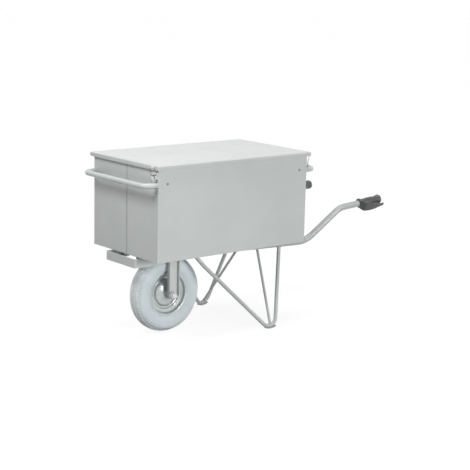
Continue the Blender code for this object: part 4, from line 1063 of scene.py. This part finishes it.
for side, turn in SIDES:
    way = ACROSS * turn
    bm = bmesh.new()
    lathe(bm, FLANGE_LINE, HUB + way * NUT_Y, way, steps=48, closed=True)
    nut = bmesh.ops.create_circle(bm, cap_ends=True, segments=6, radius=NUT_RADIUS,
                                  matrix=facing(HUB + way * (NUT_Y + HEXAGON_FROM), way))
    face = nut["verts"][0].link_faces[0]
    top = bmesh.ops.extrude_discrete_faces(bm, faces=[face])["faces"][0]
    bmesh.ops.translate(bm, vec=way * (NUT_HEIGHT - HEXAGON_FROM), verts=top.verts)
    bmesh.ops.inset_region(bm, faces=[top], thickness=SLOPE_WIDTH, depth=SLOPE_HEIGHT)
    finish(bm, "flange_nut_" + side, "cart", "zinc", ["axle_nut_" + side], smooth=25)
    refined("axle_spacer_" + side, "cart", "zinc", edge=0.0003)
refined("bearing_spacer", "cart", "zinc", edge=0.0003)

# %% [markdown]
# A grip is a soft black sleeve with a collar, a neck, a palm swell and an end flange, and
# a guard that keeps the knuckles off door frames. The sleeve is turned, and the guard is a
# flat strip bent like the bumper, then narrowed towards the back vertex by vertex, with its
# upper edge raised at the front, where it covers the first two fingers.

# %% Grips
GRIP_LENGTH, GRIP_PAST_TUBE = 0.142, 0.012
GRIP_BORE = [(0.0174, 0.030), (0.0174, 0.001), (0.0182, 0)]
GRIP_LINE = [(0.0232, 0.000), (0.0260, 0.003), (0.0262, 0.008), (0.0230, 0.016),
             (0.0210, 0.024), (0.0208, 0.036), (0.0218, 0.052), (0.0228, 0.071),
             (0.0224, 0.088), (0.0212, 0.104), (0.0218, 0.114), (0.0245, 0.122),
             (0.0252, 0.130), (0.0242, 0.137), (0.0200, 0.1419)]
GRIP_END = [(0.012, GRIP_LENGTH), (0, GRIP_LENGTH)]
GUARD_FRONT, GUARD_REAR, GUARD_THICK, GUARD_EDGE = 0.046, 0.017, 0.006, 0.0022
GUARD_TILT, GUARD_BENDS, GUARD_STEP = math.radians(30), (0.016, 0.22), 2.5
GUARD_PATH = ((0.055, 0.019), (0.14, 0.0405), (0.58, 0.0468), (1.0, 0.0425))
GUARD_CUTS = (0.25, 0.32, 0.39, 0.46, 0.7, 0.76, 0.82, 0.88, 0.94)
NARROW_FROM, GUARD_RISE, RISE_FALL = 0.3, 0.012, 1.7
for side, turn in SIDES:
    corners = rail_corners(turn)
    along = (corners[-1] - corners[-2]).normalized()
    mouth = corners[-1] + along * (GRIP_PAST_TUBE - GRIP_LENGTH)
    out = (Vector((0, turn, 0)) - along * along.y * turn).normalized()
    upward = along.cross(out) * turn
    away = out * math.cos(GUARD_TILT) - upward * math.sin(GUARD_TILT)
    tall = along.cross(away)
    bm = bmesh.new()
    lathe(bm, GRIP_BORE + smooth_line(GRIP_LINE) + GRIP_END, mouth, along, steps=48)
    path = [mouth + along * share * GRIP_LENGTH + away * off for share, off in GUARD_PATH]
    guard = bmesh.new()
    across = (path[1] - path[0]).normalized().cross(tall) * GUARD_THICK / 2
    loop = add_bar_section(guard, path[0], across, tall * GUARD_FRONT / 2)
    cap(guard, bend(guard, loop, path, GUARD_BENDS, GUARD_STEP))
    for share in GUARD_CUTS:
        bmesh.ops.bisect_plane(guard, geom=guard.verts[:] + guard.edges[:] + guard.faces[:],
                               plane_co=mouth + along * share * GRIP_LENGTH, plane_no=along)
    for vert in guard.verts:
        place = vert.co - mouth
        share = (place.dot(along) / GRIP_LENGTH - NARROW_FROM) / (1 - NARROW_FROM)
        share = min(max(share, 0), 1)
        narrow = 1 + (GUARD_REAR / GUARD_FRONT - 1) * share ** 2 * (3 - 2 * share)
        high = place.dot(tall)
        vert.co += tall * high * (narrow - 1)
        if high * turn > 0:
            vert.co += tall * turn * GUARD_RISE * max(0, 1 - RISE_FALL * share) ** 2
    close_up(guard)
    soften(guard, GUARD_EDGE, segments=3, sharper_than=50)
    guard_mesh = bpy.data.meshes.new("guard")
    guard.to_mesh(guard_mesh)
    guard.free()
    bm.from_mesh(guard_mesh)
    finish(bm, "hand_grip_" + side, "cart", "black_plastic", ["grip_" + side])

# %% [markdown]
# The latches are toggles: a wire hoop hangs on a lever and pulls the lid's keeper down
# when the lever is pressed home. The hoop is thin wire, bent with the same tool.

# %% Latch hoops and pins
LATCH_Y, WIRE, HOOP_HALF, HOOP_HOOK = -0.2515, 0.0014, 0.0145, 0.0108
HOOP_FOOT_OUT, HOOP_FOOT_Z = 0.0145, 0.8405
HOOP_TOP_OUT, HOOP_TOP_Z = 0.0238, 0.891
HOOP_BENDS = (0.0016, 0.004, 0.004, 0.0016)
for end, out, wall_x in ENDS:
    foot_x, top_x = wall_x + out * HOOP_FOOT_OUT, wall_x + out * HOOP_TOP_OUT
    wire = [(foot_x, HOOP_HOOK, HOOP_FOOT_Z), (foot_x, HOOP_HALF, HOOP_FOOT_Z),
            (top_x, HOOP_HALF, HOOP_TOP_Z)]
    corners = [at(x, LATCH_Y - y, z) for x, y, z in wire]
    corners += [at(x, LATCH_Y + y, z) for x, y, z in reversed(wire)]
    bm = bmesh.new()
    loop = add_ring(bm, corners[0], corners[1] - corners[0], WIRE, sides=14)
    last = bend(bm, loop, corners, HOOP_BENDS, step=15)
    cap(bm, loop, last)
    finish(bm, "hoop_wire_" + end, "hoop_" + end, "dull_zinc_and_shade", ["latch_hoop_" + end])
    refined("latch_pin_" + end, "cart", "zinc", edge=0.0004)
refined("hinge_pin", "cart", "zinc", edge=0.0003)

# %% [markdown]
# Screws and rivets are turned too. Screws hold the handles and the frame, and small round
# rivets hold the hinge leaves, the latch plates and the keepers.

# %% Screws and rivets
SCREW_LINE = [(0, -0.0018), (0.0022, -0.0018), (0.0023, -0.0040), (0.0042, -0.0039),
              (0.0058, -0.0030), (0.0068, -0.0014), (0.0070, -0.0003), (0.0066, 0),
              (0.0040, 0), (0.0040, 0.0096), (0.0032, 0.0104), (0, 0.0104)]
SIDE_SCREW_IN, SIDE_SCREW_Y, SIDE_SCREW_Z = 0.0525, HALF_WIDTH + 0.0003, 0.8145
FLOOR_SCREW_XS, FLOOR_SCREW_Z = {"front": 0.160, "rear": 0.746}, 0.4333
RIVET_SUNK = 0.0005
HINGE_XS = [0.130 + i * 0.0987 for i in range(8)]
LEAF_RIVETS = {"lid": ("lid", 0.2937, 0.8955), "box": ("cart", 0.2779, 0.8580)}
PLATE_OUT, PLATE_YS, PLATE_ZS = 0.0023, (-0.0165, 0.0165), (0.8325, 0.8665)
KEEPER_OUT, KEEPER_YS, KEEPER_Z = 0.0176, (-0.0075, 0.0075), 0.8965


def add_screw(name, node, seat, way):
    """A screw with a domed head, driven in along a direction."""
    bm = bmesh.new()
    lathe(bm, SCREW_LINE, seat, way, steps=32)
    finish(bm, name, "cart", "dull_zinc_and_shade", [node], smooth=50)


def add_rivets(name, body, places, way, radius=0.0019, height=0.0008):
    """Round rivet heads on a face that looks along a direction."""
    bm = bmesh.new()
    dome = [(0, height), (0.45 * radius, 0.93 * height), (0.8 * radius, 0.62 * height),
            (radius, 0), (0.6 * radius, -RIVET_SUNK), (0, -RIVET_SUNK)]
    for place in places:
        lathe(bm, dome, place, way, steps=20)
    finish(bm, name, body, "zinc")


for side, turn in SIDES:
    for end, out, wall_x in ENDS:
        corner = f"{end}_{side}"
        seat = at(wall_x - out * SIDE_SCREW_IN, turn * SIDE_SCREW_Y, SIDE_SCREW_Z)
        add_screw("side_screw_" + corner, "handle_screw_" + corner, seat, (0, -turn, 0))
        x = FLOOR_SCREW_XS[end]
        seat = at(x, turn * rail_y(x), FLOOR_SCREW_Z)
        add_screw("floor_screw_" + corner, "frame_screw_" + corner, seat, (0, 0, -1))
for leaf, (body, y, z) in LEAF_RIVETS.items():
    places = [at(x, y, z) for x in HINGE_XS]
    add_rivets("hinge_rivets_" + leaf, body, places, (0, 1, 0), radius=0.0032,
               height=0.0011)
for end, out, wall_x in ENDS:
    plate_x, keeper_x = wall_x + out * PLATE_OUT, wall_x + out * KEEPER_OUT
    plate = [at(plate_x, LATCH_Y + y, z) for y in PLATE_YS for z in PLATE_ZS]
    add_rivets("latch_rivets_" + end, "cart", plate, (out, 0, 0))
    keeper = [at(keeper_x, LATCH_Y + y, KEEPER_Z) for y in KEEPER_YS]
    add_rivets("keeper_rivets_" + end, "lid", keeper, (out, 0, 0))

# %% [markdown]
# The pieces keep the working model's size, so the size of everything shown is printed
# at the end, with the CAD nodes that are still shown.

# %% Measure the result and finish
left = [n for n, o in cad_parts.items() if not o.hide_render]
print("CAD nodes still shown:", left)
low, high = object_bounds()
print("visual size", [round(v, 4) for v in high - low])
